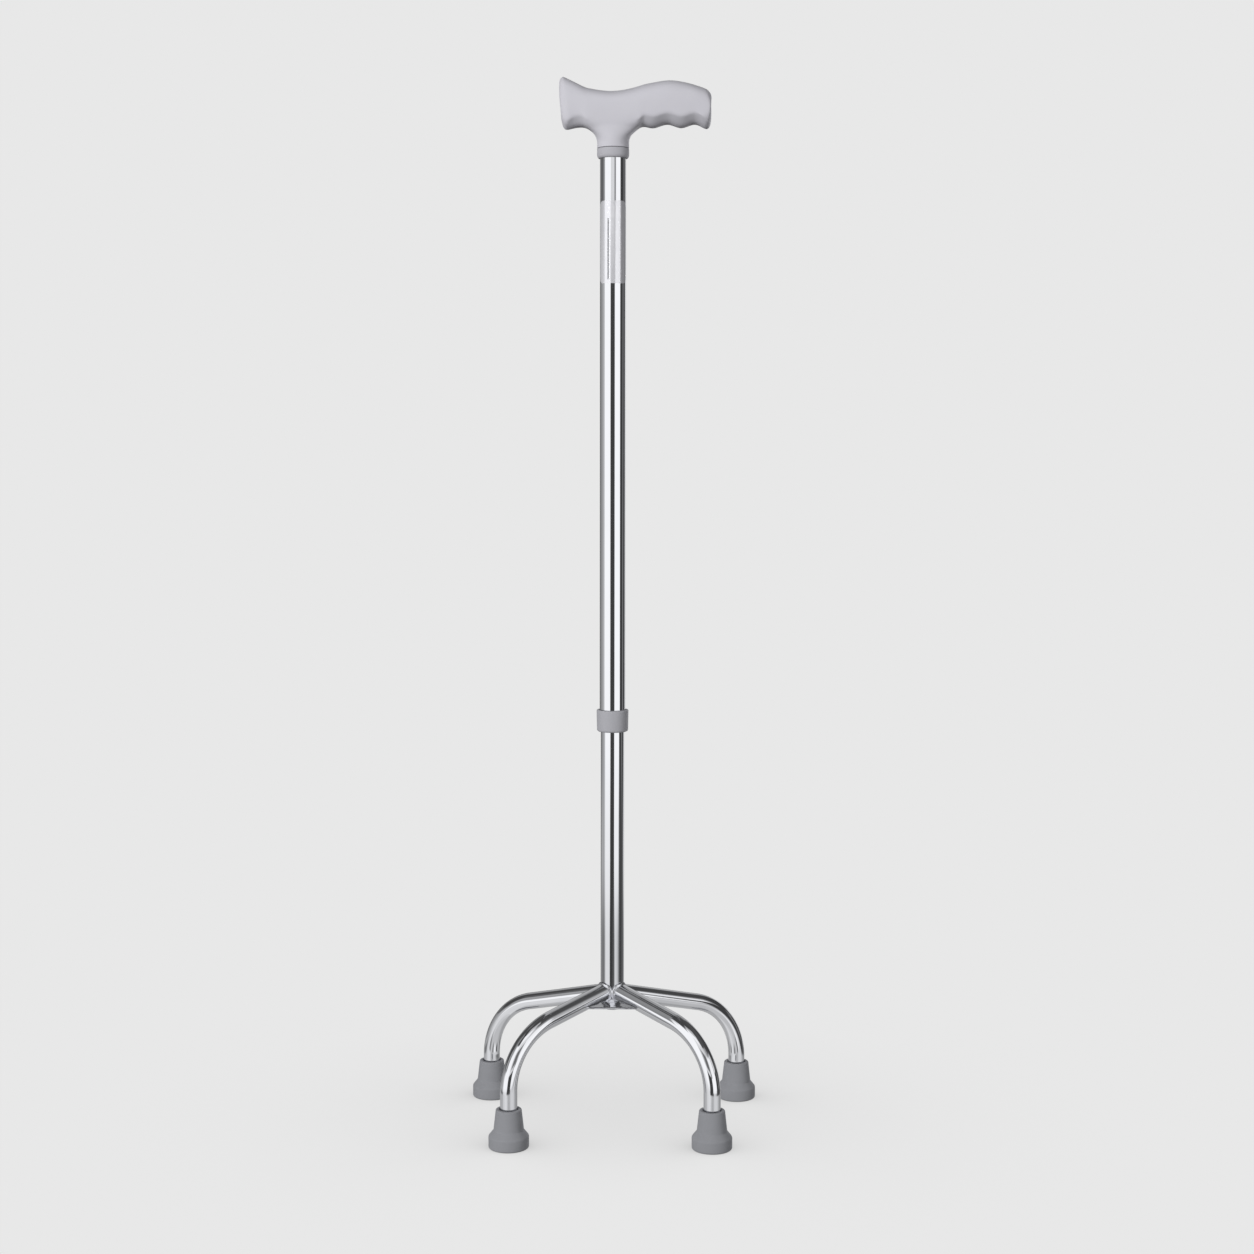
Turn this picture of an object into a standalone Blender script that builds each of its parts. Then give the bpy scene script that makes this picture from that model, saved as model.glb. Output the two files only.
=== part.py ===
"""Quad cane: a telescopic chromed shaft with a moulded T grip, on four bent legs with rubber feet.

Frame: metres, +Z up, origin on the floor under the shaft. The grip lies along X with its nose at -X,
and the narrower pair of feet is in front, at -Y. The height is set by a sprung button that pops out
through one of a row of holes at the back of the upper tube.
"""

import math

import bmesh
import bpy
from mathutils import Matrix, Vector

# Clearances
SEAT_GAP = 0.0003
SLIDE_CLEARANCE = 0.00025

# Shaft tubes. The upper one runs over the lower one.
LOWER_TUBE_RADIUS = 0.01015
LOWER_TUBE_WALL = 0.0010
LOWER_TUBE_LENGTH = 0.3435
UPPER_TUBE_WALL = 0.0007
UPPER_TUBE_LENGTH = 0.5255
TUBE_SEGMENTS = 36

# Height adjustment: the button is BUTTON_DROP below the lower tube's top end and sits in hole REST_HOLE,
# counted from 0 at the bottom. The lowest hole is LOWEST_HOLE_RISE above the upper tube's bottom end.
HOLE_COUNT = 13
HOLE_PITCH = 0.01905
REST_HOLE = 1
LOWEST_HOLE_RISE = 0.0345
BUTTON_DROP = 0.0454
HOLE_SEGMENTS = 16

# Snap button
BUTTON_RADIUS = 0.003175
BUTTON_PROUD = 0.0028
BUTTON_CROWN = 0.0012
BUTTON_FLANGE_LIP = 0.0010
BUTTON_FLANGE_THICKNESS = 0.0010
BUTTON_SEGMENTS = 24

# Leaf spring behind the button
SPRING_THICKNESS = 0.0006
SPRING_WIDTH = 0.0060
SPRING_DROP = 0.0300
SPRING_TIP_RISE = 0.0070
SPRING_BACK_LEAF = 0.0180
SPRING_BEND_STEPS = 10

# Plastic bush in the lower tube's top, and the cap in its bottom
BUSH_FLANGE = 0.0020
BUSH_PLUG_LENGTH = 0.0120
STEM_CAP_FLANGE = 0.0016
STEM_CAP_CHAMFER = 0.0008
STEM_CAP_PLUG_LENGTH = 0.0090

# Collar at the upper tube's bottom end
COLLAR_WALL = 0.0024
COLLAR_DRAFT = 0.0003
COLLAR_HEIGHT = 0.0188
COLLAR_LIP = 0.0036
COLLAR_TOP_ROUND = 0.0008
COLLAR_BOTTOM_ROUND = 0.0018

# Neck of the grip, and the ring under it
NECK_WALL = 0.0023
NECK_FLARE = 0.0005
NECK_FLARE_RISE = 0.0078
SOCKET_DEPTH = 0.0300
RING_HEIGHT = 0.0084
RING_TOP_ROUND = 0.0007
RING_BOTTOM_ROUND = 0.0020

# Grip, measured from the shaft's axis and from the neck's bottom end
GRIP_NOSE_REACH = 0.0459
GRIP_END_REACH = 0.0844
GRIP_HEIGHT = 0.0603
GRIP_HALF_WIDTH = 0.0155
GRIP_SHOULDER_DROP = 0.0032
GRIP_SHOULDER_SHARE = 0.66
GRIP_SIDE_SHARES = (0.34, 0.76)
GRIP_SIDE_TAPER = 0.97
GRIP_HEEL_RISE = 0.0017
GRIP_SMOOTHING = 2
GRIP_ROUNDS = 6

# Screw through the back of the grip into the upper tube
SCREW_RADIUS = 0.0019
SCREW_HEAD_LIP = 0.0017
SCREW_HEAD_HEIGHT = 0.0018
SCREW_HEAD_CROWN = 0.0008
SCREW_LENGTH = 0.0085
SCREW_POINT_LENGTH = 0.0020
SCREW_POINT_RADIUS = 0.0008
SCREW_BELOW_TUBE_TOP = 0.0080
SCREW_SINK = 0.0012
SCREW_SLOT_WIDTH = 0.0009
SCREW_SLOT_DEPTH = 0.0008
SCREW_SEGMENTS = 16

# Legs: from the shaft they fall at LEG_SLOPE, bend, and stand upright for a short way above the feet
LEG_RADIUS = 0.0073
LEG_WALL = 0.0012
LEG_SLOPE = math.radians(14.0)
LEG_BEND_RADIUS = 0.0580
LEG_BEND_FLATTENING = 0.14
LEG_BEND_STEPS = 9
LEG_SEGMENTS = 20
FRONT_LEG_UPRIGHT = 0.0124
BACK_LEG_UPRIGHT = 0.0044
STEM_BELOW_LEGS = 0.0125
FRONT_FOOT_X = 0.0856
BACK_FOOT_X = 0.1111
FOOT_Y = 0.0710
COPE_STEPS = 12

# Gusset plates between the legs of each pair
GUSSET_THICKNESS = 0.0020
GUSSET_REACH = 0.0280
GUSSET_ARC_STEPS = 6

# Rubber feet, whose walls are measured from the socket for the leg
FOOT_HEIGHT = 0.0330
FOOT_SOLE_WALL = 0.0095
FOOT_SOLE_ROUND = 0.0016
FOOT_BAND_HEIGHT = 0.0092
FOOT_BAND_CHAMFER = 0.0016
FOOT_BAND_INSET = 0.0006
FOOT_SHOULDER_HEIGHT = 0.0151
FOOT_SHOULDER_FILLET = 0.0010
FOOT_WAIST_WALL = 0.0052
FOOT_RIM_WALL = 0.0034
FOOT_RIM_ROUND = 0.0012
FOOT_FLOOR = 0.0075
FOOT_SEGMENTS = 24

# Grooves in the sole
GROOVE_COUNT = 2
GROOVE_FIRST_RADIUS = 0.0072
GROOVE_PITCH = 0.0046
GROOVE_WIDTH = 0.0016
GROOVE_DEPTH = 0.0010

# Steel disc between a leg's end and the rubber
DISC_THICKNESS = 0.0015
DISC_HOLE_RADIUS = 0.0020

# Edges sharper than this show as edges
SHARP_ANGLE = math.radians(35.0)


def bend_start(reach):
    """How far from the shaft a leg's bend begins."""
    return reach - LEG_BEND_RADIUS * (1.0 - math.sin(LEG_SLOPE))


def leg_root_height(reach, upright):
    """Where a leg's centre line meets the shaft's axis, for a foot this far out."""
    bend_rise = LEG_BEND_RADIUS * math.cos(LEG_SLOPE)
    return FOOT_HEIGHT + upright + bend_rise + bend_start(reach) * math.tan(LEG_SLOPE)


# Worked out from the sizes above: across the shaft
UPPER_TUBE_BORE = LOWER_TUBE_RADIUS + SLIDE_CLEARANCE
UPPER_TUBE_RADIUS = UPPER_TUBE_BORE + UPPER_TUBE_WALL
LOWER_TUBE_BORE = LOWER_TUBE_RADIUS - LOWER_TUBE_WALL
SOCKET_RADIUS = UPPER_TUBE_RADIUS + SEAT_GAP
NECK_RADIUS = SOCKET_RADIUS + NECK_WALL
COLLAR_RADIUS = SOCKET_RADIUS + COLLAR_WALL
HOLE_RADIUS = BUTTON_RADIUS + SEAT_GAP
BUTTON_FLANGE_RADIUS = BUTTON_RADIUS + BUTTON_FLANGE_LIP
SCREW_HEAD_RADIUS = SCREW_RADIUS + SCREW_HEAD_LIP

# The base
FRONT_REACH = math.hypot(FRONT_FOOT_X, FOOT_Y)
BACK_REACH = math.hypot(BACK_FOOT_X, FOOT_Y)
FRONT_LEG_ROOT_Z = leg_root_height(FRONT_REACH, FRONT_LEG_UPRIGHT)
BACK_LEG_ROOT_Z = leg_root_height(BACK_REACH, BACK_LEG_UPRIGHT)
LEG_END_Z = FOOT_FLOOR + DISC_THICKNESS + 2 * SEAT_GAP
FOOT_SOCKET_RADIUS = LEG_RADIUS + SEAT_GAP

# Up the shaft
LOWER_TUBE_BOTTOM_Z = min(FRONT_LEG_ROOT_Z, BACK_LEG_ROOT_Z) - STEM_BELOW_LEGS
LOWER_TUBE_TOP_Z = LOWER_TUBE_BOTTOM_Z + LOWER_TUBE_LENGTH
BUTTON_Z = LOWER_TUBE_TOP_Z - BUTTON_DROP
LOWEST_HOLE_Z = BUTTON_Z - REST_HOLE * HOLE_PITCH
UPPER_TUBE_BOTTOM_Z = LOWEST_HOLE_Z - LOWEST_HOLE_RISE
UPPER_TUBE_TOP_Z = UPPER_TUBE_BOTTOM_Z + UPPER_TUBE_LENGTH
NECK_BOTTOM_Z = UPPER_TUBE_TOP_Z - SOCKET_DEPTH
SCREW_Z = UPPER_TUBE_TOP_Z - SCREW_BELOW_TUBE_TOP

# A piece turned about Z points along +Y with this rotation
TO_BACK = (-math.pi / 2, 0.0, 0.0)


def material(name, colour, roughness, metallic):
    """A Principled material with one plain colour."""
    made = bpy.data.materials.new(name)
    made.use_nodes = True
    shader = made.node_tree.nodes["Principled BSDF"]
    shader.inputs["Base Color"].default_value = (*colour, 1.0)
    shader.inputs["Roughness"].default_value = roughness
    shader.inputs["Metallic"].default_value = metallic
    return made


def add_frame(name, height, parent=None):
    """Empty on the shaft's axis that carries the pieces of one moving body."""
    frame = bpy.data.objects.new(name, None)
    frame.location = (0.0, 0.0, height)
    frame.parent = parent
    bpy.context.scene.collection.objects.link(frame)
    return frame


def add_object(name, mesh, finish, frame, place=(0.0, 0.0, 0.0), rotation=(0.0, 0.0, 0.0)):
    """Put a closed mesh at a place in the world, carried by a frame."""
    face_outwards(mesh)
    shade(mesh)
    made = bpy.data.objects.new(name, mesh)
    made.data.materials.append(finish)
    made.parent = frame
    made.location = Vector(place) - frame.location
    made.rotation_euler = rotation
    bpy.context.scene.collection.objects.link(made)
    return made


def face_outwards(mesh):
    work = bmesh.new()
    work.from_mesh(mesh)
    bmesh.ops.recalc_face_normals(work, faces=work.faces)
    work.to_mesh(mesh)
    work.free()


def shade(mesh):
    """Round faces smooth, edges sharp."""
    mesh.shade_smooth()
    mesh.set_sharp_from_angle(angle=SHARP_ANGLE)


def mesh_of(name, points, faces):
    made = bpy.data.meshes.new(name)
    made.from_pydata(points, [], faces)
    return made


def arc(centre, radius, start, end, steps):
    """Points on a circle in a profile, from one angle in degrees to another."""
    points = []
    for step in range(steps + 1):
        angle = math.radians(start + (end - start) * step / steps)
        points.append((centre[0] + radius * math.cos(angle), centre[1] + radius * math.sin(angle)))
    return points


def turned(name, profile, segments):
    """Turn a closed profile of (radius, height) about Z. A profile that meets the axis starts and ends on it."""
    points = []
    rows = []
    for radius, height in profile:
        if radius == 0.0:
            rows.append([len(points)] * segments)
            points.append((0.0, 0.0, height))
            continue
        rows.append(list(range(len(points), len(points) + segments)))
        for step in range(segments):
            angle = 2.0 * math.pi * step / segments
            points.append((radius * math.cos(angle), radius * math.sin(angle), height))
    pairs = list(zip(rows, rows[1:]))
    if profile[0][0] > 0.0:
        pairs.append((rows[-1], rows[0]))
    faces = []
    for low, high in pairs:
        for step in range(segments):
            after = (step + 1) % segments
            corners = [low[step], low[after], high[after], high[step]]
            faces.append(list(dict.fromkeys(corners)))
    return mesh_of(name, points, faces)


def extruded(name, outline, direction):
    """A prism from a flat outline of 3D points."""
    count = len(outline)
    points = [Vector(point) for point in outline]
    points += [point + Vector(direction) for point in points]
    faces = [list(range(count)), list(range(2 * count - 1, count - 1, -1))]
    for step in range(count):
        after = (step + 1) % count
        faces.append([step, step + count, after + count, after])
    return mesh_of(name, points, faces)


def cut(target, mesh, operation="DIFFERENCE"):
    """Boolean the target with a mesh in world coordinates, which is then thrown away."""
    face_outwards(mesh)
    cutter = bpy.data.objects.new("cutter", mesh)
    bpy.context.scene.collection.objects.link(cutter)
    modifier = target.modifiers.new("cut", "BOOLEAN")
    modifier.operation = operation
    modifier.object = cutter
    keep_evaluated(target)
    bpy.data.objects.remove(cutter)
    shade(target.data)


def keep_evaluated(target):
    """Apply an object's modifiers."""
    bpy.context.view_layer.update()
    evaluated = target.evaluated_get(bpy.context.evaluated_depsgraph_get())
    result = bpy.data.meshes.new_from_object(evaluated)
    target.modifiers.clear()
    target.data = result


def rod(radius, start, end, segments):
    """A plain cylinder between two points, for cutting holes."""
    axis = Vector(end) - Vector(start)
    profile = [(0.0, 0.0), (radius, 0.0), (radius, axis.length), (0.0, axis.length)]
    mesh = turned("rod", profile, segments)
    turn = axis.to_track_quat("Z", "Y").to_matrix().to_4x4()
    mesh.transform(Matrix.Translation(start) @ turn)
    return mesh


def back_rod(radius, height, reach, segments):
    """A cylinder from the shaft's axis straight back, for cutting holes in that side."""
    return rod(radius, (0.0, 0.0, height), (0.0, reach, height), segments)


def joined(meshes):
    """Several closed meshes as one."""
    work = bmesh.new()
    for mesh in meshes:
        work.from_mesh(mesh)
    made = bpy.data.meshes.new("joined")
    work.to_mesh(made)
    work.free()
    return made


def tube_profile(outer, inner, length):
    return [(outer, 0.0), (outer, length), (inner, length), (inner, 0.0)]


def make_upper_tube(chrome, frame):
    profile = tube_profile(UPPER_TUBE_RADIUS, UPPER_TUBE_BORE, UPPER_TUBE_LENGTH)
    mesh = turned("upper_tube", profile, TUBE_SEGMENTS)
    tube = add_object("upper_tube", mesh, chrome, frame, (0.0, 0.0, UPPER_TUBE_BOTTOM_Z))
    past_wall = 2 * UPPER_TUBE_RADIUS
    holes = [back_rod(SCREW_RADIUS + SEAT_GAP, SCREW_Z, past_wall, HOLE_SEGMENTS)]
    for number in range(HOLE_COUNT):
        height = LOWEST_HOLE_Z + number * HOLE_PITCH
        holes.append(back_rod(HOLE_RADIUS, height, past_wall, HOLE_SEGMENTS))
    cut(tube, joined(holes))


def make_lower_tube(chrome, frame):
    profile = tube_profile(LOWER_TUBE_RADIUS, LOWER_TUBE_BORE, LOWER_TUBE_LENGTH)
    mesh = turned("lower_tube", profile, TUBE_SEGMENTS)
    tube = add_object("lower_tube", mesh, chrome, frame, (0.0, 0.0, LOWER_TUBE_BOTTOM_Z))
    cut(tube, back_rod(HOLE_RADIUS, BUTTON_Z, 2 * LOWER_TUBE_RADIUS, HOLE_SEGMENTS))


def make_guide_bush(plastic, frame):
    """Cap on the lower tube's top end, which runs in the upper tube's bore."""
    plug = LOWER_TUBE_BORE - SEAT_GAP
    profile = [
        (0.0, -BUSH_PLUG_LENGTH),
        (plug, -BUSH_PLUG_LENGTH),
        (plug, SEAT_GAP),
        (LOWER_TUBE_RADIUS, SEAT_GAP),
        (LOWER_TUBE_RADIUS, SEAT_GAP + BUSH_FLANGE),
        (0.0, SEAT_GAP + BUSH_FLANGE),
    ]
    mesh = turned("guide_bush", profile, TUBE_SEGMENTS)
    add_object("guide_bush", mesh, plastic, frame, (0.0, 0.0, LOWER_TUBE_TOP_Z))


def make_stem_cap(plastic, frame):
    """Plug that closes the lower tube under the hub."""
    plug = LOWER_TUBE_BORE - SEAT_GAP
    bottom = -SEAT_GAP - STEM_CAP_FLANGE
    profile = [
        (0.0, bottom),
        (LOWER_TUBE_RADIUS - STEM_CAP_CHAMFER, bottom),
        (LOWER_TUBE_RADIUS, bottom + STEM_CAP_CHAMFER),
        (LOWER_TUBE_RADIUS, -SEAT_GAP),
        (plug, -SEAT_GAP),
        (plug, STEM_CAP_PLUG_LENGTH),
        (0.0, STEM_CAP_PLUG_LENGTH),
    ]
    mesh = turned("stem_cap", profile, TUBE_SEGMENTS)
    add_object("stem_cap", mesh, plastic, frame, (0.0, 0.0, LOWER_TUBE_BOTTOM_Z))


def sleeve_profile(low_radius, high_radius, height, low_round, high_round):
    """Outside of a sleeve from its rounded bottom edge up to its rounded top edge."""
    profile = arc((low_radius - low_round, low_round), low_round, -90, 0, 3)
    return profile + arc((high_radius - high_round, height - high_round), high_round, 0, 90, 2)


def make_collar(plastic, frame):
    """Sleeve over the upper tube's bottom end, with a lip that guides the lower tube."""
    lip_bore = LOWER_TUBE_RADIUS + SEAT_GAP
    low_radius = COLLAR_RADIUS - COLLAR_DRAFT
    low_round = min(COLLAR_BOTTOM_ROUND, COLLAR_WALL)
    profile = [(lip_bore, 0.0)]
    profile += sleeve_profile(low_radius, COLLAR_RADIUS, COLLAR_HEIGHT, low_round, COLLAR_TOP_ROUND)
    profile += [
        (SOCKET_RADIUS, COLLAR_HEIGHT),
        (SOCKET_RADIUS, COLLAR_LIP),
        (lip_bore, COLLAR_LIP),
    ]
    mesh = turned("height_collar", profile, TUBE_SEGMENTS)
    bottom = UPPER_TUBE_BOTTOM_Z - SEAT_GAP - COLLAR_LIP
    add_object("height_collar", mesh, plastic, frame, (0.0, 0.0, bottom))


def make_neck_ring(plastic, frame):
    """Sleeve on the upper tube that closes the joint under the grip."""
    low_round = min(RING_BOTTOM_ROUND, NECK_WALL - SEAT_GAP)
    profile = [(SOCKET_RADIUS, 0.0)]
    profile += sleeve_profile(NECK_RADIUS, NECK_RADIUS, RING_HEIGHT, low_round, RING_TOP_ROUND)
    profile.append((SOCKET_RADIUS, RING_HEIGHT))
    mesh = turned("neck_ring", profile, TUBE_SEGMENTS)
    add_object("neck_ring", mesh, plastic, frame, (0.0, 0.0, NECK_BOTTOM_Z - SEAT_GAP - RING_HEIGHT))


def grip_stations():
    """Sections of the grip from nose to end, as shares: distance from the shaft, of the reach on that side;
    height of the top and of the underside, of the grip's height; half width at the side and at the
    underside, of the grip's half width; and how much the section leans away from the nose as it goes down."""
    return (
        (-1.000, 0.915, 0.366, 0.568, 0.323, 0.073),
        (-0.926, 1.000, 0.254, 0.774, 0.439, 0.054),
        (-0.752, 0.957, 0.282, 0.839, 0.542, 0.018),
        (-0.562, 0.884, 0.292, 0.877, 0.606, 0.0),
        (-0.397, 0.842, 0.242, 0.910, 0.710, 0.0),
        (0.000, 0.809, 0.249, 0.935, 0.897, 0.0),
        (0.216, 0.852, 0.240, 0.961, 0.735, 0.0),
        (0.310, 0.902, 0.302, 0.981, 0.645, 0.0),
        (0.415, 0.940, 0.282, 0.994, 0.632, 0.0),
        (0.551, 0.970, 0.332, 1.000, 0.632, 0.0),
        (0.690, 0.960, 0.282, 0.987, 0.619, 0.0),
        (0.826, 0.914, 0.332, 0.955, 0.594, 0.0),
        (0.954, 0.826, 0.282, 0.890, 0.516, -0.010),
        (1.000, 0.726, 0.373, 0.632, 0.361, -0.026),
    )


def grip_section(station):
    """Ten points round one section: top, shoulder, upper and lower side, heel, underside, and back up."""
    x_share, top_share, under_share, width_share, heel_share, lean = station
    x = x_share * (GRIP_NOSE_REACH if x_share < 0.0 else GRIP_END_REACH)
    top = top_share * GRIP_HEIGHT
    height = top - under_share * GRIP_HEIGHT
    half_width = width_share * GRIP_HALF_WIDTH
    high_side, low_side = GRIP_SIDE_SHARES
    half = [
        (0.0, top),
        (half_width * GRIP_SHOULDER_SHARE, top - GRIP_SHOULDER_DROP),
        (half_width, top - high_side * height),
        (half_width * GRIP_SIDE_TAPER, top - low_side * height),
        (heel_share * GRIP_HALF_WIDTH, top - height + GRIP_HEEL_RISE),
        (0.0, top - height),
    ]
    around = half + [(-y, z) for y, z in reversed(half[1:-1])]
    return [(x + lean * (top - z), y, z) for y, z in around]


def grip_cage():
    """Faces of the grip's cage and the points that its smoothed surface goes through."""
    stations = grip_stations()
    neck = next(number for number, station in enumerate(stations) if station[0] == 0.0)
    points = []
    rows = []
    for station in stations:
        section = grip_section(station)
        rows.append(list(range(len(points), len(points) + len(section))))
        points += section
    underside = (4, 5)
    faces = []
    for number, (row, after) in enumerate(zip(rows, rows[1:])):
        for side in range(len(row)):
            if side in underside and number in (neck - 1, neck):
                continue
            following = (side + 1) % len(row)
            faces.append([row[side], after[side], after[following], row[following]])
    for row in (rows[0], rows[-1]):
        faces += end_faces(points, row)
    faces += neck_faces(points, rows[neck - 1], rows[neck], rows[neck + 1])
    return points, faces


def end_faces(points, row):
    """Close an end of the grip with six four-sided faces round two middle points."""
    top, a, b, c, d, bottom, d2, c2, b2, a2 = row
    high = len(points)
    low = high + 1
    for corner, opposite in ((b, b2), (c, c2)):
        points.append(tuple((Vector(points[corner]) + Vector(points[opposite])) / 2))
    return [
        [top, a, b, high],
        [top, high, b2, a2],
        [high, b, c, low],
        [high, low, c2, b2],
        [low, c, d, bottom],
        [low, bottom, d2, c2],
    ]


def neck_faces(points, before, middle, after):
    """Run the opening under the grip down to the round end of its neck."""
    opening = [before[5], before[4], middle[4], after[4], after[5], after[6], middle[6], before[6]]
    faces = []
    row = opening
    for radius, height in ((NECK_RADIUS + NECK_FLARE, NECK_FLARE_RISE), (NECK_RADIUS, 0.0)):
        ring = list(range(len(points), len(points) + len(opening)))
        for corner in range(len(opening)):
            angle = math.pi - corner * 2.0 * math.pi / len(opening)
            points.append((radius * math.cos(angle), radius * math.sin(angle), height))
        for corner in range(len(opening)):
            following = (corner + 1) % len(opening)
            faces.append([row[corner], row[following], ring[following], ring[corner]])
        row = ring
    centre = len(points)
    points.append((0.0, 0.0, 0.0))
    for corner in range(0, len(row), 2):
        faces.append([row[corner], row[corner + 1], row[(corner + 2) % len(row)], centre])
    return faces


def pass_through(cage, wanted):
    """Move the cage's points until the smoothed surface goes through the wanted ones."""
    for _ in range(GRIP_ROUNDS):
        bpy.context.view_layer.update()
        smooth = cage.evaluated_get(bpy.context.evaluated_depsgraph_get()).data
        shifts = [Vector(point) - smooth.vertices[number].co for number, point in enumerate(wanted)]
        for vertex, shift in zip(cage.data.vertices, shifts):
            vertex.co += shift
        cage.data.update()


def crease_neck_end(mesh):
    """Keep the round edge at the neck's bottom end sharp."""
    crease = mesh.attributes.new("crease_edge", "FLOAT", "EDGE")
    on_axis = SEAT_GAP
    for edge in mesh.edges:
        ends = [mesh.vertices[number].co for number in edge.vertices]
        if all(end.z < SEAT_GAP and end.xy.length > on_axis for end in ends):
            crease.data[edge.index].value = 1.0


def make_grip(plastic, frame):
    """Moulded grip: a smoothed cage with a socket for the upper tube and a hole for the screw."""
    points, faces = grip_cage()
    grip = add_object("grip", mesh_of("grip", points, faces), plastic, frame, (0.0, 0.0, NECK_BOTTOM_Z))
    crease_neck_end(grip.data)
    smoothing = grip.modifiers.new("smooth", "SUBSURF")
    smoothing.levels = GRIP_SMOOTHING
    smoothing.render_levels = GRIP_SMOOTHING
    pass_through(grip, points)
    keep_evaluated(grip)
    socket_foot = (0.0, 0.0, NECK_BOTTOM_Z - SOCKET_DEPTH)
    socket_top = (0.0, 0.0, UPPER_TUBE_TOP_Z + SEAT_GAP)
    cut(grip, rod(SOCKET_RADIUS, socket_foot, socket_top, TUBE_SEGMENTS))
    outside = 2 * GRIP_HALF_WIDTH
    cut(grip, back_rod(SCREW_RADIUS + SEAT_GAP, SCREW_Z, outside, SCREW_SEGMENTS))
    head_seat = (0.0, screw_seat_y(), SCREW_Z)
    cut(grip, rod(SCREW_HEAD_RADIUS + SEAT_GAP, head_seat, (0.0, outside, SCREW_Z), SCREW_SEGMENTS))


def screw_seat_y():
    """Floor of the sink for the screw's head, in the back of the grip over the neck."""
    width_share = next(station[3] for station in grip_stations() if station[0] == 0.0)
    return width_share * GRIP_HALF_WIDTH - SCREW_SINK


def make_grip_screw(steel, frame):
    """Slotted pan-head screw, turned about its own axis from the seat of its head."""
    profile = [
        (0.0, -SCREW_LENGTH),
        (SCREW_POINT_RADIUS, -SCREW_LENGTH),
        (SCREW_RADIUS, SCREW_POINT_LENGTH - SCREW_LENGTH),
        (SCREW_RADIUS, 0.0),
        (SCREW_HEAD_RADIUS, 0.0),
        (SCREW_HEAD_RADIUS, SCREW_HEAD_HEIGHT - SCREW_HEAD_CROWN),
        (SCREW_HEAD_RADIUS - SCREW_HEAD_CROWN, SCREW_HEAD_HEIGHT),
        (0.0, SCREW_HEAD_HEIGHT),
    ]
    seat = screw_seat_y() + SEAT_GAP
    mesh = turned("grip_screw", profile, SCREW_SEGMENTS)
    screw = add_object("grip_screw", mesh, steel, frame, (0.0, seat, SCREW_Z), TO_BACK)
    slot_bottom = seat + SCREW_HEAD_HEIGHT - SCREW_SLOT_DEPTH
    half_slot = SCREW_SLOT_WIDTH / 2
    past_head = 2 * SCREW_HEAD_RADIUS
    corners = [(-past_head, -half_slot), (past_head, -half_slot), (past_head, half_slot), (-past_head, half_slot)]
    outline = [(x, slot_bottom, SCREW_Z + z) for x, z in corners]
    cut(screw, extruded("slot", outline, (0, SCREW_HEAD_HEIGHT, 0)))


def flange_top_y():
    """The button's flange stops just inside the lower tube's wall."""
    return math.sqrt(LOWER_TUBE_BORE**2 - BUTTON_FLANGE_RADIUS**2) - SEAT_GAP


def make_snap_button(steel, frame):
    """Button turned about Y: flange inside the lower tube, rounded tip outside the upper one."""
    tip = UPPER_TUBE_RADIUS + BUTTON_PROUD
    flange = flange_top_y()
    crown_start = tip - BUTTON_CROWN
    profile = [
        (0.0, flange - BUTTON_FLANGE_THICKNESS),
        (BUTTON_FLANGE_RADIUS, flange - BUTTON_FLANGE_THICKNESS),
        (BUTTON_FLANGE_RADIUS, flange),
        (BUTTON_RADIUS, flange),
    ]
    for share in (0.0, 0.35, 0.7, 1.0):
        angle = share * math.pi / 2
        profile.append((BUTTON_RADIUS * math.cos(angle), crown_start + BUTTON_CROWN * math.sin(angle)))
    profile[-1] = (0.0, tip)
    mesh = turned("snap_button", profile, BUTTON_SEGMENTS)
    add_object("snap_button", mesh, steel, frame, (0.0, 0.0, BUTTON_Z), TO_BACK)


def make_button_spring(steel, frame):
    """Bent strip in the lower tube: one leaf behind the button, one along the opposite wall."""
    half_width = SPRING_WIDTH / 2
    half_thickness = SPRING_THICKNESS / 2
    front = flange_top_y() - BUTTON_FLANGE_THICKNESS - SEAT_GAP - half_thickness
    back = SEAT_GAP + half_thickness - math.sqrt(LOWER_TUBE_BORE**2 - half_width**2)
    bend_centre = ((front + back) / 2, -SPRING_DROP)
    path = [(front, SPRING_TIP_RISE)]
    path += arc(bend_centre, (front - back) / 2, 0, -180, SPRING_BEND_STEPS)
    path.append((back, SPRING_BACK_LEAF - SPRING_DROP))
    edges = ([], [])
    for number, point in enumerate(path):
        before = Vector(path[max(number - 1, 0)])
        after = Vector(path[min(number + 1, len(path) - 1)])
        aside = (after - before).normalized().orthogonal() * half_thickness
        edges[0].append(Vector(point) + aside)
        edges[1].append(Vector(point) - aside)
    outline = edges[0] + list(reversed(edges[1]))
    points = [(x, *point) for x in (-half_width, half_width) for point in outline]
    total = len(outline)
    faces = []
    for number in range(len(path) - 1):
        opposite = total - 1 - number
        face = [number, number + 1, opposite - 1, opposite]
        faces.append(face)
        faces.append([corner + total for corner in reversed(face)])
    for number in range(total):
        after = (number + 1) % total
        faces.append([number, number + total, after + total, after])
    mesh = mesh_of("button_spring", points, faces)
    add_object("button_spring", mesh, steel, frame, (0.0, 0.0, BUTTON_Z))


def foot_place(side, pair):
    """Centre of a foot on the floor. side is -1 or 1 in X, pair is -1 in front or 1 behind."""
    return Vector((side * (FRONT_FOOT_X if pair < 0 else BACK_FOOT_X), pair * FOOT_Y, 0.0))


def leg_root_z(pair):
    return FRONT_LEG_ROOT_Z if pair < 0 else BACK_LEG_ROOT_Z


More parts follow.
